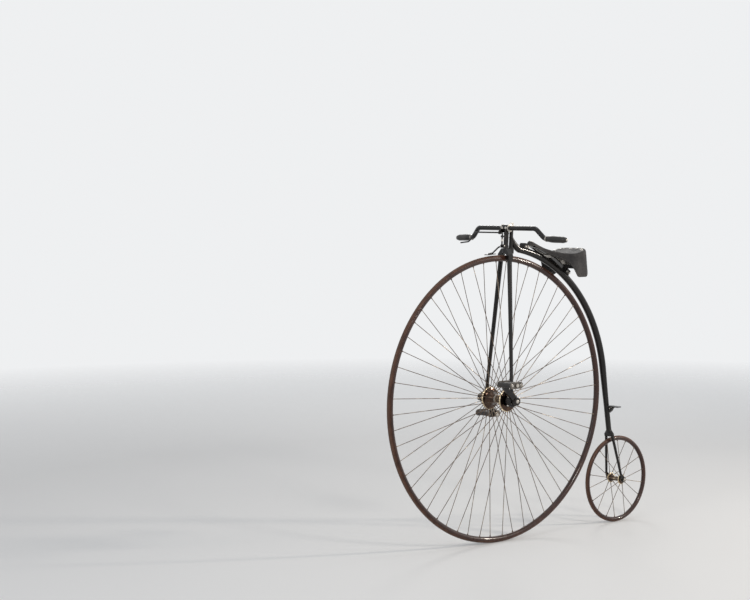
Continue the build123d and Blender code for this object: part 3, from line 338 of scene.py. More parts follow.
def rim_paint(centre, name):
    """Dark red-brown gloss paint with fine paler lines round the wheel, rubbed to steel on its edges."""
    m = Nodes(name, (0.035, 0.014, 0.01), 0.26, coat=0.4, coat_roughness=0.04, specular=0.22)
    radius, angle, y = m.turned(centre)
    round_it = m.combine(m.times(angle, 3.0), m.times(radius, 220.0), m.times(y, 300.0))
    lines = m.noise(2.4, 5, 0.65, at=round_it)
    cloud = m.noise(16, 5, 0.65)
    worn = m.times(m.edges(0.0015), m.range(m.noise(120, 4, 0.7), 0.4, 0.6))
    base = m.mix(m.range(cloud, 0.35, 0.68), (0.024, 0.009, 0.007), (0.05, 0.02, 0.013))
    base = m.mix(m.range(lines, 0.6, 0.72, 0.0, 0.5), base, (0.11, 0.055, 0.033))
    m.colour(m.mix(worn, base, (0.24, 0.15, 0.09)))
    m.rough(m.range(m.noise(45, 5), 0.3, 0.7, 0.16, 0.34))
    m.metal(m.times(worn, 0.7))
    m.bump((m.noise(300, 3), 0.0001), (lines, 0.00005))
    return m.material


def tyre_rubber(centre, name, outer, width):
    """Solid red-brown rubber, smeared and crazed, with a dusty tread and the seam of its mould."""
    m = Nodes(name, (0.08, 0.038, 0.025), 0.4, specular=0.2)
    radius, angle, y = m.turned(centre)
    at = m.combine(m.times(angle, outer), y, radius)
    tread = m.range(radius, outer - width * 0.24, outer - width * 0.04)
    grit = m.noise(420, 5, 0.7, at=at)
    smears = m.noise(1.0, 5, 0.7, at=m.stretch(9, 260, 260, at=at))
    cracks = m.cells(170, at=m.stretch(0.35, 1, 1, at=at))
    crazed = m.times(m.range(cracks, 0.07, 0.0), m.range(m.noise(14, 3, at=at), 0.5, 0.66))
    base = m.mix(m.range(m.noise(26, 4, at=at), 0.35, 0.65), (0.046, 0.021, 0.015), (0.1, 0.046, 0.03))
    base = m.mix(m.range(smears, 0.58, 0.76, 0.0, 0.5), base, (0.17, 0.095, 0.063))
    dusty = m.times(tread, m.range(grit, 0.32, 0.6))
    base = m.mix(m.times(dusty, 0.45), base, (0.2, 0.13, 0.09))
    m.colour(m.mix(m.times(crazed, 0.7), base, (0.02, 0.012, 0.009)))
    m.rough(m.plus(m.range(smears, 0.3, 0.7, 0.28, 0.46), m.times(tread, 0.16)))
    seam = m.times(m.range(m.math("ABSOLUTE", y), 0.0009, 0.0003),
                   m.range(radius, outer - 0.006, outer - 0.001))
    m.bump((grit, 0.00018), (m.math("SUBTRACT", 1.0, crazed), 0.00018), (seam, 0.0002))
    return m.material


def spoke_steel():
    """Browned steel wire, with bright rubbed stretches and spots of rust."""
    m = Nodes("spoke_steel", (0.2, 0.15, 0.11), 0.42, metallic=0.85)
    rust = m.range(m.noise(240, 6, 0.75), 0.52, 0.66)
    rubbed = m.range(m.noise(11, 3, 0.6), 0.5, 0.64)
    m.colour(m.mix(rust, m.mix(rubbed, (0.1, 0.07, 0.05), (0.34, 0.28, 0.22)), (0.06, 0.03, 0.018)))
    m.rough(m.plus(m.range(rubbed, 0, 1, 0.46, 0.26), m.times(rust, 0.35)))
    m.metal(m.range(rust, 0, 1, 0.9, 0.25))
    m.bump((m.noise(1400, 3), 0.00006), (rust, 0.00006))
    return m.material


def bronze(centre, name, lip):
    """Turned bronze with fine lathe rings, dark oil patches that also paint dark reflections, and a painted
    highlight round the lip of each flange and on its sharp edges.
    """
    m = Nodes(name, (0.08, 0.045, 0.028), 0.14, metallic=1.0, coat=0.35, coat_roughness=0.04)
    radius, _, y = m.turned(centre)
    fine = m.math("SINE", m.times(m.plus(radius, m.times(y, 0.7)), 9000.0))
    stain = m.noise(60, 6, 0.72)
    # Dark oil patches, made large so that they also paint the dark reflections of a polished hub
    oil_and_painted_reflection = m.range(m.noise(19, 4, 0.6), 0.4, 0.62)
    base = m.mix(m.range(stain, 0.36, 0.66), (0.1, 0.054, 0.032), (0.038, 0.022, 0.015))
    base = m.mix(m.times(oil_and_painted_reflection, 0.6), base, (0.018, 0.012, 0.01))
    # Painted highlight: a band just inside each flange's lip, and the sharp edges on the next line, get a
    # pale polished colour
    high = m.times(m.range(radius, lip - 0.003, lip - 0.0012), m.range(stain, 0.72, 0.5, 0.45, 1.0))
    m.colour(m.mix(m.math("MAXIMUM", m.edges(0.002), high), base, (0.74, 0.6, 0.4)))
    m.rough(m.plus(m.range(stain, 0.3, 0.7, 0.07, 0.2), m.times(oil_and_painted_reflection, 0.06)))
    m.bump((fine, 0.000012), (m.noise(500, 3), 0.00006))
    return m.material


def bright_steel():
    """Machined steel gone slightly yellow with oil, with tool marks and grey stains."""
    m = Nodes("bright_steel", (0.55, 0.54, 0.52), 0.3, metallic=1.0)
    marks = m.noise(1.0, 3, 0.6, at=m.stretch(1800, 260, 1800))
    stain = m.noise(130, 6, 0.7)
    base = m.mix(m.range(stain, 0.38, 0.66), (0.56, 0.54, 0.5), (0.25, 0.215, 0.18))
    m.colour(m.mix(m.edges(0.001), base, (0.78, 0.76, 0.72)))
    m.rough(m.plus(m.range(stain, 0.3, 0.7, 0.18, 0.42), m.times(marks, 0.08)))
    m.bump((marks, 0.00003), (m.noise(700, 3), 0.00005))
    return m.material


def pedal_steel():
    """Dark painted steel, chipped and rubbed bright on its edges by shoes."""
    m = Nodes("pedal_steel", (0.05, 0.045, 0.04), 0.4, coat=0.2, coat_roughness=0.2)
    chip = m.range(m.noise(210, 6, 0.75), 0.56, 0.62)
    edge = m.times(m.edges(0.0022), m.range(m.noise(140, 5, 0.7), 0.34, 0.56))
    bare = m.math("MAXIMUM", m.times(chip, 0.6), edge)
    base = m.mix(m.range(m.noise(44, 5), 0.35, 0.65), (0.03, 0.027, 0.025), (0.085, 0.07, 0.056))
    m.colour(m.mix(bare, base, (0.4, 0.36, 0.31)))
    m.metal(m.times(bare, 0.9))
    m.rough(m.range(m.noise(90, 5, 0.7), 0.3, 0.7, 0.3, 0.55))
    m.bump((m.noise(420, 3), 0.0001), (m.math("SUBTRACT", 1.0, bare), 0.00005))
    return m.material


def rubber(name, colour, worn, roughness, grain):
    """Moulded rubber or horn with a fine grain, scuffed where it is held or stood on."""
    m = Nodes(name, colour, roughness, specular=0.4)
    scuff = m.range(m.noise(70, 6, 0.75), 0.5, 0.7)
    dirt = m.range(m.noise(24, 4, 0.6), 0.45, 0.7)
    base = m.mix(m.times(dirt, 0.5), colour, worn)
    m.colour(m.mix(m.times(m.edges(0.0015), scuff), base, tuple(c * 2.2 for c in worn)))
    m.rough(m.range(scuff, 0, 1, roughness - 0.08, roughness + 0.12))
    m.bump((m.noise(grain, 4, 0.6), 0.00016), (scuff, 0.00006))
    return m.material


def leather():
    """Black-grey leather: pebbled grain, painted shade in its creases, dark edges, polished brown where it
    is sat on.
    """
    m = Nodes("leather", (0.033, 0.031, 0.031), 0.6, specular=0.22, sheen=0.04)
    grain = m.plus(m.range(m.cells(620), 0.0, 0.16), m.times(m.range(m.cells(1500), 0.0, 0.14), 0.4))
    creases = m.noise(1.0, 5, 0.66, at=m.stretch(24, 62, 30), distortion=0.9)
    fold = m.times(m.range(m.math("ABSOLUTE", m.math("SUBTRACT", creases, 0.5)), 0.024, 0.0),
                   m.range(m.noise(12, 3), 0.36, 0.56))
    height = m.add("ShaderNodeSeparateXYZ")
    m.join(m.place, height.inputs[0])
    seat = m.range(height.outputs["Z"], -0.03, -0.002)
    polish = m.times(seat, m.range(m.noise(22, 4), 0.36, 0.62))
    scuff = m.range(m.noise(75, 7, 0.78), 0.56, 0.68)
    base = m.mix(m.range(m.noise(15, 5, 0.65), 0.35, 0.65), (0.019, 0.018, 0.019), (0.05, 0.047, 0.047))
    base = m.mix(m.times(scuff, 0.34), base, (0.095, 0.086, 0.079))
    base = m.mix(m.times(polish, 0.3), base, (0.05, 0.04, 0.034))
    base = m.mix(m.times(m.range(grain, 0.5, 0.0), 0.5), base, (0.014, 0.013, 0.013))
    # The edges are darkened, and the creases get painted shade
    dark = m.math("MAXIMUM", m.times(m.edges(0.0022), 0.7), m.times(fold, 0.35))
    m.colour(m.mix(dark, base, (0.012, 0.011, 0.011)))
    m.rough(m.math("SUBTRACT", m.range(scuff, 0, 1, 0.62, 0.76), m.times(polish, 0.1)))
    m.bump((m.math("SUBTRACT", 1.0, fold), 0.0003), (grain, 0.00024), (m.noise(45, 4), 0.0006))
    return m.material


def thread():
    """Waxed linen thread, grey with dirt."""
    m = Nodes("thread", (0.16, 0.145, 0.12), 0.7, sheen=0.2)
    m.colour(m.mix(m.range(m.noise(90, 4), 0.4, 0.6), (0.2, 0.18, 0.15), (0.09, 0.08, 0.07)))
    m.bump((m.noise(1500, 3), 0.0001))
    return m.material


def floor_paint():
    """A pale floor that keeps shadows and fades into the pale background far from the object."""
    m = Nodes("floor", (0.8, 0.8, 0.795), 0.75, specular=0.2)
    m.colour(m.mix(m.noise(0.9, 5, 0.6), (0.79, 0.79, 0.785), (0.81, 0.81, 0.805)))
    m.bump((m.noise(120, 4), 0.0002))
    reach = m.add("ShaderNodeVectorMath", operation="LENGTH")
    m.join(m.place, reach.inputs[0])
    m.join(m.range(reach.outputs["Value"], 3.2, 9.0, 1.0, 0.0), m.shader.inputs["Alpha"])
    return m.material


SLOTS = {
    "enamel": enamel(),
    "spoke_steel": spoke_steel(),
    "bright_steel": bright_steel(),
    "pedal_steel": pedal_steel(),
    "rubber": rubber("rubber", (0.03, 0.028, 0.027), (0.085, 0.075, 0.065), 0.62, 700),
    "grip": rubber("grip", (0.02, 0.019, 0.018), (0.06, 0.048, 0.038), 0.4, 500),
    "leather": leather(),
}
WHEEL_SLOTS = {
    wheel: {
        "rim_paint": rim_paint(WHEEL_AT[wheel], "rim_paint" + ending),
        "tyre": tyre_rubber(WHEEL_AT[wheel], "tyre" + ending, WHEEL_R[wheel], TYRE_W[wheel]),
        "hub_bronze": bronze(WHEEL_AT[wheel], "hub_bronze" + ending, HUB_LIP[wheel]),
    }
    for wheel, ending in (("front", ""), ("rear", "_rear"))
}


def finish_of(slot, place):
    """The material of a slot. The wheels' own slots follow the wheel that a node or a body belongs to."""
    return SLOTS.get(slot) or WHEEL_SLOTS["rear" if place.startswith("rear") else "front"][slot]


for name, obj in nodes.items():
    finish = finish_of(slot_of[name], name)
    for place in obj.material_slots:
        place.material = finish
    if not obj.material_slots:
        obj.data.materials.append(finish)


# The width by which a CAD node's sharp edges are rounded, as a file or paint would
SOFT_EDGES = {
    0.0006: ("saddle_frame", "head_bolt", "rear_axle"),
    0.0008: ("saddle_spring", "brake_spoon"),
    0.001: ("crank_left", "crank_right", "neck"),
    0.0012: ("fork_crown", "spring_clips", "rear_blade_left", "rear_blade_right"),
    0.0015: ("rear_crown",),
}


def soften(obj, width):
    """Rounds the sharp edges of a CAD node."""
    weld = obj.modifiers.new("weld", "WELD")
    weld.merge_threshold = 0.00002
    flat = obj.modifiers.new("flat", "DECIMATE")
    flat.decimate_type = "DISSOLVE"
    flat.angle_limit = math.radians(0.6)
    bevel = obj.modifiers.new("bevel", "BEVEL")
    bevel.width = width
    bevel.segments = 2
    bevel.limit_method = "ANGLE"
    bevel.angle_limit = math.radians(33)
    bevel.miter_outer = "MITER_ARC"
    normals = obj.modifiers.new("normals", "WEIGHTED_NORMAL")
    normals.weight = 80


for width, names in SOFT_EDGES.items():
    for name in names:
        soften(nodes[name], width)


# Mesh helpers
class Build:
    """Collects closed forms in one mesh. Places are in metres, profiles and heads in millimetres."""

    def __init__(self):
        self.verts, self.faces = [], []

    def grid(self, rows, caps=(True, True)):
        """Joins rows of points of the same length. Each row is a loop, and caps close the ends."""
        start, count = len(self.verts), len(rows[0])
        for row in rows:
            self.verts += [tuple(p) for p in row]
        for r in range(len(rows) - 1):
            for c in range(count):
                a, b = start + r * count + c, start + r * count + (c + 1) % count
                self.faces.append((a, b, b + count, a + count))
        if caps[0]:
            self.faces.append(tuple(start + c for c in range(count - 1, -1, -1)))
        if caps[1]:
            last = start + (len(rows) - 1) * count
            self.faces.append(tuple(last + c for c in range(count)))

    def lathe(self, at, along, profile, sides, ridge=None):
        """Turns a profile of (distance along, radius) round an axis from a point."""
        along = Vector(along).normalized()
        one = along.orthogonal().normalized()
        two = along.cross(one)
        rows = []
        for distance, radius in profile:
            row = []
            for angle in around(sides):
                out = one * math.cos(angle) + two * math.sin(angle)
                r = radius * (ridge(angle, distance) if ridge else 1.0)
                row.append(Vector(at) + (along * distance + out * r) / 1000)
            rows.append(row)
        self.grid(rows)

    def wheel(self, centre, section, sides):
        """Turns a closed section of (y, radius) round an axle that lies along Y."""
        rows = [[centre + Vector((r * math.cos(a), y, r * math.sin(a))) / 1000 for a in around(sides)]
                for y, r in section]
        self.grid(rows + [rows[0]], caps=(False, False))

    def bolt(self, at, along, width, height, washer):
        """A hexagon head or nut with bevelled corners, on a washer of a thickness or on none."""
        r = width / 2 / math.cos(math.pi / 6)
        if washer:
            self.lathe(at, along, [(-0.2, r * 1.12), (washer * 0.75, r * 1.12), (washer, r * 1.06)], 28)
        hexagon = [(-0.1, r), (height * 0.8, r), (height, r * 0.9)]
        self.lathe(Vector(at) + Vector(along).normalized() * washer / 1000, along, hexagon, 6)

    def dome(self, at, along, radius, height):
        """A rivet's snap head, sunk a little into what it holds."""
        curve = [(height * math.sin(a), radius * math.cos(a)) for a in quarter(6)[:-1]]
        self.lathe(at, along, [(-0.4, radius)] + curve + [(height, radius * 0.06)], 18)

    def strand(self, points, radii):
        """A short round strand along points, with a radius in metres at each."""
        rows, side = [], None
        for k, (p, r) in enumerate(zip(points, radii)):
            ahead = (points[min(k + 1, len(points) - 1)] - points[max(k - 1, 0)]).normalized()
            side = (ahead.orthogonal() if side is None else side - ahead * side.dot(ahead)).normalized()
            other = ahead.cross(side)
            rows.append([p + (side * math.cos(a) + other * math.sin(a)) * r for a in around(6)])
        self.grid(rows)

    def piece(self, name, body, slot, material=None, angle=35.0, replaces=(), merge=0.0):
        """Makes the object, gives it its finish and puts it on its body."""
        mesh = bpy.data.meshes.new(name)
        mesh.from_pydata(self.verts, [], self.faces)
        made = bmesh.new()
        made.from_mesh(mesh)
        if merge:
            bmesh.ops.remove_doubles(made, verts=made.verts, dist=merge)
        bmesh.ops.recalc_face_normals(made, faces=made.faces)
        made.to_mesh(mesh)
        made.free()
        mesh.shade_smooth()
        if angle is not None:
            mesh.set_sharp_from_angle(angle=math.radians(angle))
        mesh.materials.append(material or finish_of(slot, body))
        obj = add_object(name, mesh)
        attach(obj, body)
        if replaces:
            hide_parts(*replaces)
        return obj


# Saddle, in millimetres from the top of the seat
NOSE, TAIL = 150.0, -160.0
NOSE_HALF, TAIL_HALF = 27.0, 106.0
TAIL_CORNER = 55.0
HIP_START, HIP_LENGTH = 75, 155
FLARE = math.tan(math.radians(5.0))
TOP = [(-190.0, 35.0), (-64.0, -5.0), (0.0, 0.0), (75.0, 25.2), (180.0, 72.0)]
# Corners of the lower edge from the nose back to the flank, and the skirt behind them
EDGE = [(180.0, 60.0), (138.0, 34.0), (90.0, 10.0), (-12.0, -42.5)]
SKIRT_LOW, SKIRT_BACK = -118.0, -84.0
SKIRT_FRONT, SKIRT_TURN = -63.0, -126.0
SKIRT_BLEND = 5
# The ends of the top's middle line, its fall towards the rim, and the shoulder's radius and fall
MIDDLE_BACK, MIDDLE_AHEAD = -112.0, 128.0
CROWN, SHOULDER_R, SHOULDER_FALL = 1.6, 9, 8.2
# How far the skirt waves and may stand out, and how far the top is pulled up or down
WAVE, WAVE_LIMIT, PULL = 2.4, 0.4, 0.35
# Rows of the leather's grid: shares of the way out over the top, degrees round the shoulder, shares of the
# way down the skirt, and (height, depth) along the lip, whose second row is pressed in for the stitches
TOP_ROWS = (0.0, 0.14, 0.28, 0.42, 0.56, 0.7, 0.82, 0.92, 1.0)
SHOULDER_ROWS = (15, 32, 50, 68, 82)
SKIRT_ROWS = (0.0, 0.12, 0.26, 0.42, 0.58, 0.74, 0.88, 1.0)
LIP_ROWS = ((9.6, 0.0), (8.4, 0.8), (7.2, 0.0), (3.0, 0.1), (0.0, 0.5))
LIP_H, LIP_FULL = 13, 22
SKIRT_FIRST = len(TOP_ROWS) + len(SHOULDER_ROWS)
PRESSED_ROW = SKIRT_FIRST + len(SKIRT_ROWS) + 1

# The leather's thickness and its stitches, in metres
LEATHER_T = 0.0044
STITCH_GAP, STITCH_L, STITCH_BOW = 0.0042, 0.0031, 0.0005


def curve_through(points):
    """A natural cubic through (x, z) points."""
    n = len(points)
    xs, zs = zip(*points)
    h = [xs[i + 1] - xs[i] for i in range(n - 1)]
    a, b, c, d = [0.0] * n, [1.0] * n, [0.0] * n, [0.0] * n
    for i in range(1, n - 1):
        a[i], b[i], c[i] = h[i - 1], 2 * (h[i - 1] + h[i]), h[i]
        d[i] = 6 * ((zs[i + 1] - zs[i]) / h[i] - (zs[i] - zs[i - 1]) / h[i - 1])
    for i in range(1, n):
        w = a[i] / b[i - 1]
        b[i] -= w * c[i - 1]
        d[i] -= w * d[i - 1]
    m = [0.0] * n
    for i in range(n - 2, 0, -1):
        m[i] = (d[i] - c[i] * m[i + 1]) / b[i]

    def at(x):
        i = next((k for k in range(n - 1) if x <= xs[k + 1]), n - 2)
        p, q = xs[i + 1] - x, x - xs[i]
        return ((m[i] * p ** 3 + m[i + 1] * q ** 3) / (6 * h[i])
                + (zs[i] / h[i] - m[i] * h[i] / 6) * p + (zs[i + 1] / h[i] - m[i + 1] * h[i] / 6) * q)

    return at


top_z = curve_through(TOP)


def plan():
    """(point, outward normal) round the saddle's plan, from nose to tail on the left and back again."""
    half = [(NOSE - NOSE_HALF + NOSE_HALF * math.cos(a), NOSE_HALF * math.sin(a)) for a in quarter(10)]
    half += [(x, NOSE_HALF) for x in (114, 104, 94, 84)]
    for k in range(1, 25):
        # the hip's curve, flat at both ends
        t = k / 25
        hip = (1 - (1 - t) ** 1.75) ** 1.55
        half.append((HIP_START - HIP_LENGTH * t, NOSE_HALF + (TAIL_HALF - NOSE_HALF) * hip))
    half += [(x, TAIL_HALF) for x in (-82, -90, -98)]
    x, y = TAIL + TAIL_CORNER, TAIL_HALF - TAIL_CORNER
    half += [(x - TAIL_CORNER * math.sin(a), y + TAIL_CORNER * math.cos(a)) for a in quarter(10)]
    half += [(TAIL, y) for y in (42, 31, 20, 10)]
    whole = half + [(TAIL, 0.0)] + [(x, -y) for x, y in reversed(half[1:])]
    out = []
    for k, here in enumerate(whole):
        (xa, ya), (xb, yb) = whole[k - 1], whole[(k + 1) % len(whole)]
        out.append((Vector(here), Vector((yb - ya, xa - xb)).normalized()))
    return out


def skirt_edge(x):
    """The height of the leather's lower edge at a place along the saddle."""
    for (x1, z1), (x0, z0) in zip(EDGE, EDGE[1:]):
        if x >= x0:
            return z0 + (x - x0) / (x1 - x0) * (z1 - z0)
    if x > SKIRT_TURN:
        # the front of the skirt sweeps up to the flank from a rounded corner
        flank_x, flank_z = EDGE[-1]
        behind = x - SKIRT_FRONT
        t = max(0.0, behind / (flank_x - SKIRT_FRONT))
        rise = (flank_z - SKIRT_LOW) * (1 - (1 - t) ** 1.5) ** (1 / 1.25) + min(0.0, behind) * 2.0
        return SKIRT_BLEND * math.log(math.exp(rise / SKIRT_BLEND) + 1) + SKIRT_LOW
    t = min(1.0, (SKIRT_TURN - x) / (SKIRT_TURN - TAIL))
    return SKIRT_BACK - (SKIRT_BACK - SKIRT_LOW) * (1 - t ** 1.35) ** (1 / 1.12)


def saddle_rows(shape):
    """Rows of points from the middle line over the shoulder and down to the lower edge, in millimetres."""
    columns = []
    for p, n in shape:
        inset = top_z(p.x) * FLARE
        rim = p - n * (SHOULDER_R + inset)
        core = Vector((max(MIDDLE_BACK, min(MIDDLE_AHEAD, p.x)), 0))
        column = []
        for share in TOP_ROWS:
            q = core.lerp(rim, share)
            column.append((q.x, q.y, top_z(q.x) - CROWN * share ** 3))
        z_rim = top_z(rim.x) - CROWN
        for degrees in SHOULDER_ROWS:
            a = math.radians(degrees)
            q = p - n * (inset + SHOULDER_R * (1 - math.sin(a)))
            column.append((q.x, q.y, z_rim - SHOULDER_FALL * (1 - math.cos(a))))
        # the flare moves the edge in, so its height is found again from where it comes out
        z_low = skirt_edge(p.x)
        for _ in range(3):
            z_low = skirt_edge((p - n * (z_low * FLARE)).x)
        z_high = z_rim - SHOULDER_FALL
        z_low = min(z_low, z_high - 3.0)
        lip = min(1.0, (z_high - z_low) / LIP_FULL)
        down = [(z_high - (z_high - z_low - LIP_H * lip) * share, 0.0) for share in SKIRT_ROWS]
        down += [(z_low + up * lip, sink * lip) for up, sink in LIP_ROWS]
        for z, sink in down:
            q = p - n * (z * FLARE + sink)
            column.append((q.x, q.y, z))
        columns.append(column)
    return list(zip(*columns))


def leather_skin(shape):
    """The rows in metres: the skirt hangs in slow waves, and the nose and the cantle pull at the top."""
    rows = saddle_rows(shape)
    skin = []
    for r, row in enumerate(rows):
        low = (r - SKIRT_FIRST + 1) / (len(rows) - SKIRT_FIRST)
        line = []
        for x, y, z in row:
            p = Vector((x, y, z))
            if r >= SKIRT_FIRST:
                wave = noise.noise(p * 0.021 + Vector((3.1, 0, 0))) * WAVE * low
                out = (0.15, math.copysign(1, y), 0) if abs(y) > 3 else (math.copysign(1, x), 0, 0)
                p += Vector(out).normalized() * min(WAVE_LIMIT, wave) * min(1.0, abs(y) / 40)
            elif r < len(TOP_ROWS):
                p.z += noise.noise(p * 0.05) * PULL
            line.append(p / 1000)
        skin.append(line)
    return skin


def saddle():
    """The leather, one stretched skin with a pressed line along its edge, and its stitches and rivets."""
    shape = plan()
    skin = leather_skin(shape)
    build = Build()
    build.grid(skin, caps=(False, False))
    obj = build.piece("saddle_leather", "frame", "leather", angle=None, replaces=("saddle",), merge=0.0004)
    thick = obj.modifiers.new("thickness", "SOLIDIFY")
    thick.thickness = LEATHER_T
    thick.offset = -1.0
    thick.use_even_offset = True
    smooth = obj.modifiers.new("smooth", "SUBSURF")
    smooth.levels = smooth.render_levels = 1

    # Stitches lie in the pressed line
    groove = skin[PRESSED_ROW]
    outward = [Vector((n.x, n.y, 0)) for _, n in shape]
    stitches = Build()
    place = 0.0
    for k, a in enumerate(groove):
        after = (k + 1) % len(groove)
        run = (groove[after] - a).length
        if run < 1e-6:
            continue
        along = (groove[after] - a) / run
        n = (outward[k] + outward[after]).normalized()
        while place < run:
            mid = a + along * place + n * 0.00025
            bow = [mid + along * (STITCH_L * t) - n * (STITCH_BOW * (2 * abs(t)) ** 2)
                   for t in (-0.5, -0.25, 0, 0.25, 0.5)]
            stitches.strand(bow, (0.00028, 0.0005, 0.00056, 0.0005, 0.00028))
            place += STITCH_GAP
        place -= run
    stitches.piece("saddle_stitches", "frame", "leather", material=thread())

    # Rivets hold the leather to the cantle and the nose plate
    rivets = Build()
    for k, (p, n) in enumerate(shape):
        tail = p.x < TAIL + 45 and k % 4 == 2
        if tail or k in (0, 6, len(shape) - 6):
            q = p - n * (19 if tail else 15)
            slope = (top_z(q.x + 1) - top_z(q.x - 1)) / 2
            up = Vector((-slope, 0, 1)).normalized()
            at = Vector((q.x, q.y, top_z(q.x) - 1.5)) / 1000
            rivets.lathe(at, up, [(-1.0, 6.2), (0.5, 6.2), (0.9, 5.7)], 28)
            rivets.dome(at + up * 0.0007, up, 4.4, 2.0)
    rivets.piece("saddle_rivets", "frame", "bright_steel")


# Grips
GRIP_L = 0.112
GRIP_R, GRIP_GROOVE = 15.4, 0.9
GRIP_STEPS = 56
# (share of the length, share of the radius), and where the rings are cut
GRIP_PROFILE = ((0.0, 0.82), (0.3, 1.0), (0.8, 0.94), (1.0, 0.7))
GRIP_RINGS = (0.05, 0.09, 0.13, 0.9, 0.94)


def grip_radius(t):
    """The radius at a share of the grip's length, in millimetres."""
    i = max(j for j in range(3) if t >= GRIP_PROFILE[j][0])
    (a, ra), (b, rb) = GRIP_PROFILE[i:i + 2]
    s = (t - a) / (b - a)
    r = ra + (rb - ra) * (s * s * (3 - 2 * s))
    groove = max(0.0, *(1 - abs(t - ring) / 0.012 for ring in GRIP_RINGS))
    rounded = math.sqrt(max(0.0, 1 - max(0.0, (t - 0.955) / 0.045) ** 2))
    return (GRIP_R * r - GRIP_GROOVE * groove) * (0.35 + 0.65 * rounded)


def long_way(node):
    """The direction from the inner end of a long node to its outer end."""
    points = [v.co for v in nodes[node].data.vertices]
    reach = [abs(p.y) for p in points]
    ends = []
    for limit in (min(reach), max(reach)):
        near = [p for p in points if abs(abs(p.y) - limit) < 0.012]
        ends.append(sum(near, Vector()) / len(near))
    return (ends[1] - ends[0]).normalized()


def grips():
    """Turned pear-shaped grips with ringed ends, and a steel ferrule and button on each."""
    profile = [(0.15 + k / GRIP_STEPS * 111.7, grip_radius(k / GRIP_STEPS)) for k in range(GRIP_STEPS + 1)]
    for side, _ in SIDES:
        along = long_way("grip_" + side)
        origin = middle("grip_" + side) - along * (GRIP_L / 2)
        grip = Build()
        grip.lathe(origin, along, profile, 48)
        grip.piece("grip_turned_" + side, "fork", "grip", angle=50, replaces=("grip_" + side,))
        ring = Build()
        ring.lathe(origin, along, [(-5.5, 11.6), (-4.8, 13.2), (-1.2, 13.6), (-0.4, 12.9)], 48)
        ring.lathe(origin + along * 0.1115, along, [(-1.5, 5.6), (1.2, 5.6), (2.2, 4.8), (2.6, 2.4)], 32)
        ring.piece("grip_ferrules_" + side, "fork", "bright_steel")


# Pedals: the rubbers' radius, their rounded ends and their lobes and rings
RUBBER_R, RUBBER_ROUND = 11.0, 1.4
RUBBER_LOBES, RUBBER_RINGS = 8, 9
RUBBER_STEPS = 90


def fluted(length):
    """The shape of a rubber of a length, as a share of its radius: lobes round it and rings along it."""
    def ridge(angle, distance):
        ring = 1.0 if (distance / length * RUBBER_RINGS) % 1.0 > 0.16 else 0.965
        return (0.925 + 0.075 * abs(math.cos(angle * RUBBER_LOBES / 2)) ** 0.6) * ring

    return ridge


def pedals():
    """Fluted rubbers, with a nut and a rivet on the rod of each."""
    for side, sign in SIDES:
        body = "pedal_" + side
        out = LEFT * sign
        lo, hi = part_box("pedal_rubbers_" + side)
        rods = (lo[0] + ROD_INSET, hi[0] - ROD_INSET)
        z = (lo[2] + hi[2]) / 2
        length = (hi[1] - lo[1]) * 1000
        profile = []
        for k in range(RUBBER_STEPS + 1):
            d = length * k / RUBBER_STEPS
            rounded = min(1.0, min(d, length - d) / RUBBER_ROUND)
            profile.append((d, RUBBER_R * (0.9 + 0.1 * rounded) * 0.985))
        blocks = Build()
        for x in rods:
            blocks.lathe((x, lo[1] if sign > 0 else hi[1], z), out, profile, 64, ridge=fluted(length))
        blocks.piece("pedal_blocks_" + side, body, "rubber", angle=28, replaces=("pedal_rubbers_" + side,))

        lo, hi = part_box("pedal_frame_" + side)
        inner, outer = (lo[1], hi[1]) if sign > 0 else (hi[1], lo[1])
        metal = Build()
        for x in rods:
            metal.bolt((x, outer - sign * ROD_SHOW, z), out, 10.0, 4.2, 0.8)
            metal.dome((x, inner, z), -out, 4.4, 1.7)
        metal.piece("pedal_rod_nuts_" + side, body, "bright_steel")


# Wheels
def turn_piece(wheel, section, sides, name, slot, node, angle):
    """Turns a closed section of (y, radius) into the piece that stands for a wheel's node."""
    build = Build()
    build.wheel(WHEEL_AT[wheel], section, sides)
    build.piece(f"{wheel}_{name}", wheel + "_wheel", slot, angle=angle, replaces=(f"{wheel}_{node}",),
                merge=SEAM)


def tyre_size(wheel):
    """(outer radius, half width) of a tyre, in millimetres."""
    lo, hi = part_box(wheel + "_tyre")
    return (hi[2] - lo[2]) / 2 * 1000, (hi[1] - lo[1]) / 2 * 1000


def tyre(wheel):
    """A solid tyre turned finely, with a worn flat along its tread and two shoulder lines."""
    outer, half = tyre_size(wheel)
    section = []
    for a in around(36):
        r = half
        r -= half * 0.035 * max(0.0, (math.cos(a) - 0.9) / 0.1)
        r -= 0.28 * max(0.0, 1 - abs(abs(math.atan2(math.sin(a), math.cos(a))) - 0.87) / 0.1)
        section.append((math.sin(a) * r, outer - half + math.cos(a) * r))
    turn_piece(wheel, section, TURNED_SIDES[wheel], "tyre_rubber", "tyre", "tyre", None)


def rim(wheel):
    """The crescent rim, turned finely, with a bead along each edge."""
    tyre_half, depth, rim_half = RIMS[wheel]
    ring = tyre_size(wheel)[0] - tyre_half
    groove = tyre_half + 0.3
    # the outside is the arc through both edges and the deepest place, which is more than half a turn
    arc_r = (depth ** 2 + rim_half ** 2) / (2 * depth)
    span = math.pi - math.asin(rim_half / arc_r)
    section = []
    for k in range(17):
        a = -span + 2 * span * k / 16
        section.append((arc_r * math.sin(a), ring - depth + arc_r - arc_r * math.cos(a)))
    bead = (rim_half + groove) / 2
    edge = [(rim_half - 0.3, ring + 0.5), (bead, ring + 0.75), (groove + 0.1, ring + 0.4)]
    section += edge
    for k in range(13):
        a = math.pi / 2 - math.pi * k / 12
        section.append((groove * math.sin(a), ring - groove * math.cos(a)))
    section += [(-y, r) for y, r in reversed(edge)]
    turn_piece(wheel, section, TURNED_SIDES[wheel], "rim_rolled", "rim_paint", "rim", 40)


def hub(wheel):
    """A turned hub, the same on both sides, with its bore through it."""
    section = [(-y, r) for y, r in reversed(HUBS[wheel])] + HUBS[wheel][1:]
    turn_piece(wheel, section, 96, "hub_turned", "hub_bronze", "hub", 32)


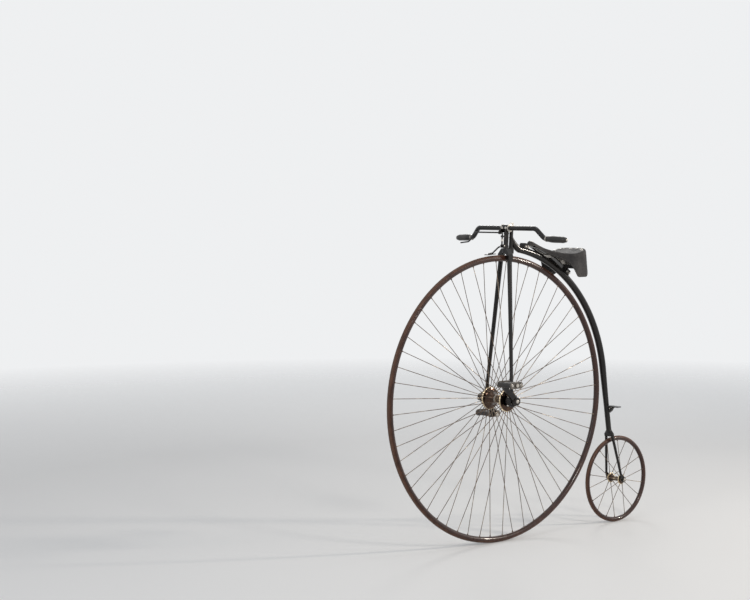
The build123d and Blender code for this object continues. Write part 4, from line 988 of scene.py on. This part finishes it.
def spoke_ends(wheel):
    """A head on each spoke at the rim, and a collar where it enters the flange."""
    count, phases, root_r, flange_y, rim_r, wire = SPOKES[wheel]
    w = wire * 1000
    head = [(-1.0, w * 1.15), (0, w * 1.75), (1.4, w * 2.0), (3.4, w * 2.0), (4.6, w * 2.5)]
    collar = [(0, w * 2.0), (1.0, w * 2.05), (1.6, w * 1.75)]
    heads, collars = Build(), Build()
    for (_, sign), phase in zip(SIDES, phases):
        for k in range(count):
            out, _ = round_axle(phase + k * 360 / count)
            start = WHEEL_AT[wheel] + LEFT * sign * flange_y + out * root_r
            far = WHEEL_AT[wheel] + LEFT * sign * SPOKE_SPREAD + out * rim_r
            along = (far - start).normalized()
            heads.lathe(far - along * 0.0042, along, head, 10)
            collars.lathe(start + along * COLLAR_REACH[wheel], along, collar, 10)
    heads.piece(wheel + "_spoke_heads", wheel + "_wheel", "spoke_steel")
    collars.piece(wheel + "_spoke_collars", wheel + "_wheel", "hub_bronze")


def oil_band():
    """A spring band round the front hub's waist, which covers its oil hole."""
    band = Build()
    band.lathe(AXLE - LEFT * 0.0155, LEFT, [(0, 17.2), (0.2, 18.3), (6.8, 18.2), (7.0, 17.0)], 64)
    band.dome(AXLE + Vector((0, -0.012, 0.0178)), (0, 0, 1), 2.6, 2.2)
    band.piece("hub_oil_band", "front_wheel", "bright_steel")


# Bearings, cranks and axles
def bearing_cases():
    """Split cases with a bevelled, dished face and a joint round the middle."""
    for side, sign in SIDES:
        case = Build()
        case.wheel(AXLE, [(sign * y, r) for y, r in BEARING_CASE], 96)
        case.piece("bearing_case_" + side, "fork", "enamel", angle=32, replaces=("bearing_" + side,))


def bearing_fittings():
    """Six screws in each case's face, two bolts that draw its halves together, and an oiler."""
    screws, oilers = Build(), Build()
    for out in OUTWARD:
        centre = AXLE + out * BEARING_Y
        for k in range(6):
            at = AXLE + out * BEARING_FACE_Y + round_axle(30 + 60 * k)[0] * BEARING_SCREWS_R
            screws.lathe(at, out, [(-0.6, 1.9), (0.9, 1.9), (1.3, 1.5)], 14)
        for x in (-1, 1):
            screws.bolt(centre + Vector((x * 0.024, 0, -0.0185)), (x * 0.35, 0, -1), 8.0, 4.0, 0.8)
            screws.dome(centre + Vector((x * 0.0225, 0, 0.0195)), (x * 0.6, 0, 1), 4.2, 2.6)
        tilt = Vector((0.72, 0, 0.69)).normalized()
        oilers.lathe(centre + tilt * 0.0292, tilt, [
            (0, 3.6), (1.4, 3.6), (1.6, 2.6), (3.0, 2.6), (3.4, 4.2), (6.2, 4.2), (7.2, 3.4), (7.6, 1.2),
        ], 20)
    screws.piece("bearing_screws", "fork", "bright_steel")
    oilers.piece("bearing_oilers", "fork", "hub_bronze")


def crank_nuts():
    """Each crank's cotter and nut, washers on both faces of its slot, and a button on the axle's end."""
    nuts = Build()
    for sign, degrees in ((1, CRANK_ANGLE), (-1, CRANK_ANGLE + 180)):
        out = LEFT * sign
        arm, square = round_axle(degrees)
        cotter = AXLE + out * COTTER_Y - arm * COTTER_IN
        nuts.bolt(cotter + square * 0.0168, square, 11.0, 4.6, 1.0)
        nuts.dome(cotter - square * 0.0228, -square, 4.1, 1.6)
        for y, face in ((CRANK_IN_Y - 0.0001, -1), (CRANK_OUT_Y + 0.0001, 1)):
            pin = AXLE + arm * CRANK_THROW + out * y
            nuts.lathe(pin, out * face, [(-0.05, 10.4), (0.18, 10.4), (0.24, 10.0)], 36)
        nuts.lathe(AXLE + out * AXLE_END_Y, out, [(-0.4, 5.6), (0.5, 5.6), (0.9, 4.8), (1.0, 2.0)], 28)
    nuts.piece("crank_nuts", "front_wheel", "bright_steel")


def rear_axle_bits():
    """Dust washers that turn with the rear hub, and caps on the ends of its axle."""
    washers, caps = Build(), Build()
    for out in OUTWARD:
        for y in REAR_WASHERS_Y:
            washers.lathe(REAR + out * y, out, [(0, 9.2), (0.5, 9.8), (1.4, 9.8), (1.8, 9.2)], 32)
        caps.lathe(REAR + out * REAR_AXLE_END_Y, out, [(-0.4, 4.2), (0.5, 4.2), (1.0, 3.4), (1.1, 1.2)], 24)
    washers.piece("rear_dust_washers", "rear_wheel", "bright_steel")
    caps.piece("rear_axle_ends", "frame", "bright_steel")


# Steering head
def steering_head():
    """The bar clamp's rings and bolts, the pillar's rings, the brake's adjuster and the neck's oiler."""
    bits = Build()
    clamp = [(0, 17.0), (0.6, 18.2), (2.0, 18.4), (3.0, 17.6), (3.6, 15.5), (3.7, 11.3)]
    for sign in (1, -1):
        out = LEFT * sign
        bits.lathe(head_point(0, 0, BAR_S) + out * BAR_RING_Y, out, clamp, 48)
        bits.bolt(head_point(BAR_BOLT_X, -BAR_BOLT_Y * sign, BAR_S), AHEAD, 9.0, 4.0, 0.8)
        # the ends of the spoon's hinge pin
        bits.dome(head_point(HINGE_X, 0, HINGE_S) + out * HINGE_END_Y, out, 4.2, 2.2)
    bits.piece("head_bolts", "fork", "bright_steel")

    rings = Build()
    ring = [(-2.4, 11.0), (-1.6, 12.5), (0, 13.0), (1.6, 12.5), (2.4, 11.0)]
    for s in RINGS_S:
        rings.lathe(head_point(0, 0, s), UP, ring, 40)
    rings.piece("pillar_rings", "fork", "enamel")

    # A knurled adjuster and its locknut on the brake's rod
    adjust = Build()
    rod = head_point(BRAKE_ROD_X, 0, ADJUSTER_S)
    adjust.lathe(rod, UP, [(0, 4.6), (0.5, 5.9), (8.5, 5.9), (9.0, 4.6)], 60,
                 ridge=lambda angle, _: 1.0 + 0.03 * math.cos(angle * 30))
    adjust.bolt(rod + UP * 0.0092, UP, 9.4, 3.4, 0)
    adjust.piece("brake_adjuster", "fork", "bright_steel")

    cup = Build()
    cup.lathe(head_point(NECK_BACK_X, 0, ADJUSTER_S), UP * 0.35 - AHEAD, [
        (0, 3.4), (2.2, 3.4), (2.4, 2.5), (4.0, 2.5), (4.4, 4.0), (7.4, 4.0), (8.4, 3.2), (8.8, 1.0),
    ], 20)
    cup.piece("neck_oiler", "frame", "hub_bronze")


# Frame
def frame_bits():
    """Bolts in the spring's clips and on the saddle's clamp, and rivets in the step's bracket."""
    bolts = Build()
    lo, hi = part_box("spring_clips")
    half = (hi[1] - lo[1]) / 2
    for angle in (SPRING_START + CLIP_TURN, SPRING_END - CLIP_TURN):
        ahead, out = round_axle(angle)
        for along in (-CLIP_BOLT_REACH, CLIP_BOLT_REACH):
            at = AXLE + out * (SURFACE_R + 0.001) - ahead * along
            for side in OUTWARD:
                bolts.bolt(at + side * half, side, 8.0, 3.6, 0.9)
    _, out = round_axle(SADDLE_ANGLE)
    top = AXLE + out * (SURFACE_R + SPRING_LIFT + SPRING_BOW + SPRING_T + CLAMP_T)
    for side in OUTWARD:
        bolts.bolt(top + side * CLAMP_BOLT_Y, out, 8.0, 3.6, 0.8)
    lo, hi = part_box("step")
    for y, z in ((0.0225, -0.0145), (0.033, -0.0085)):
        bolts.dome(Vector((lo[0] + 0.016, y, hi[2] + z)), (1, 0, 0), 3.6, 1.8)
    bolts.piece("frame_bolts", "frame", "bright_steel")


saddle()
grips()
pedals()
for make in (tyre, rim, hub, spoke_ends):
    make("front")
    make("rear")
oil_band()
bearing_cases()
bearing_fittings()
crank_nuts()
rear_axle_bits()
steering_head()
frame_bits()


# Light and ground
def floor():
    """A round pale floor under the wheels."""
    build = Build()
    build.grid([[Vector((r * math.cos(a), r * math.sin(a), 0)) for a in around(96)]
                for r in (0.001, 1.0, 2.5, 5.0, 9.5)], caps=(True, False))
    mesh = bpy.data.meshes.new("floor")
    mesh.from_pydata(build.verts, [], build.faces)
    mesh.materials.append(floor_paint())
    obj = add_object("floor", mesh)
    obj.location = (0, 0, FLOOR_Z)


def studio():
    """A pale background for camera and reflections, over a dimmer light on the object."""
    world = bpy.data.worlds.new("studio")
    bpy.context.scene.world = world
    world.use_nodes = True
    tree = world.node_tree
    tree.nodes.clear()
    output, shown, lit, choose, path = (tree.nodes.new("ShaderNode" + kind) for kind in (
        "OutputWorld", "Background", "Background", "MixShader", "LightPath"))
    shown.inputs["Color"].default_value = (0.86, 0.87, 0.88, 1)
    lit.inputs["Color"].default_value = (0.92, 0.95, 1.0, 1)
    lit.inputs["Strength"].default_value = 0.42
    seen = path.outputs["Is Camera Ray"]
    for kind in ("Is Glossy Ray", "Is Transmission Ray"):
        either = tree.nodes.new("ShaderNodeMath")
        either.operation = "MAXIMUM"
        tree.links.new(seen, either.inputs[0])
        tree.links.new(path.outputs[kind], either.inputs[1])
        seen = either.outputs[0]
    tree.links.new(seen, choose.inputs[0])
    tree.links.new(lit.outputs[0], choose.inputs[1])
    tree.links.new(shown.outputs[0], choose.inputs[2])
    tree.links.new(choose.outputs[0], output.inputs["Surface"])


def lamp(name, place, aim, size, power, colour, spread=180):
    """A round soft lamp. A narrower spread gathers its light."""
    light = bpy.data.lights.new(name, "AREA")
    light.shape = "DISK"
    light.size = size
    light.energy = power
    light.color = colour
    light.spread = math.radians(spread)
    obj = add_object(name, light)
    obj.location = place
    obj.rotation_euler = (Vector(aim) - Vector(place)).to_track_quat("-Z", "Y").to_euler()


floor()
studio()
lamp("key", (0.6, 5.2, 2.1), (0.1, 0, -0.6), 0.9, 85, (1.0, 0.95, 0.88))
lamp("fill", (5.6, 1.0, 1.6), (0.1, 0, -0.6), 2.2, 45, (0.95, 0.97, 1.0))
lamp("back", (-3.6, -4.2, 2.6), (0, 0, -0.6), 1.6, 55, (1.0, 0.98, 0.95))
lamp("edge", (-4.6, 3.8, 1.5), (0, 0, -0.5), 0.5, 52, (1.0, 0.92, 0.82), spread=100)
lamp("top", (0.2, 0.2, 3.6), (0.1, 0, -0.6), 2.0, 18, (1.0, 1.0, 1.0))

bpy.context.scene.view_settings.view_transform = "Standard"
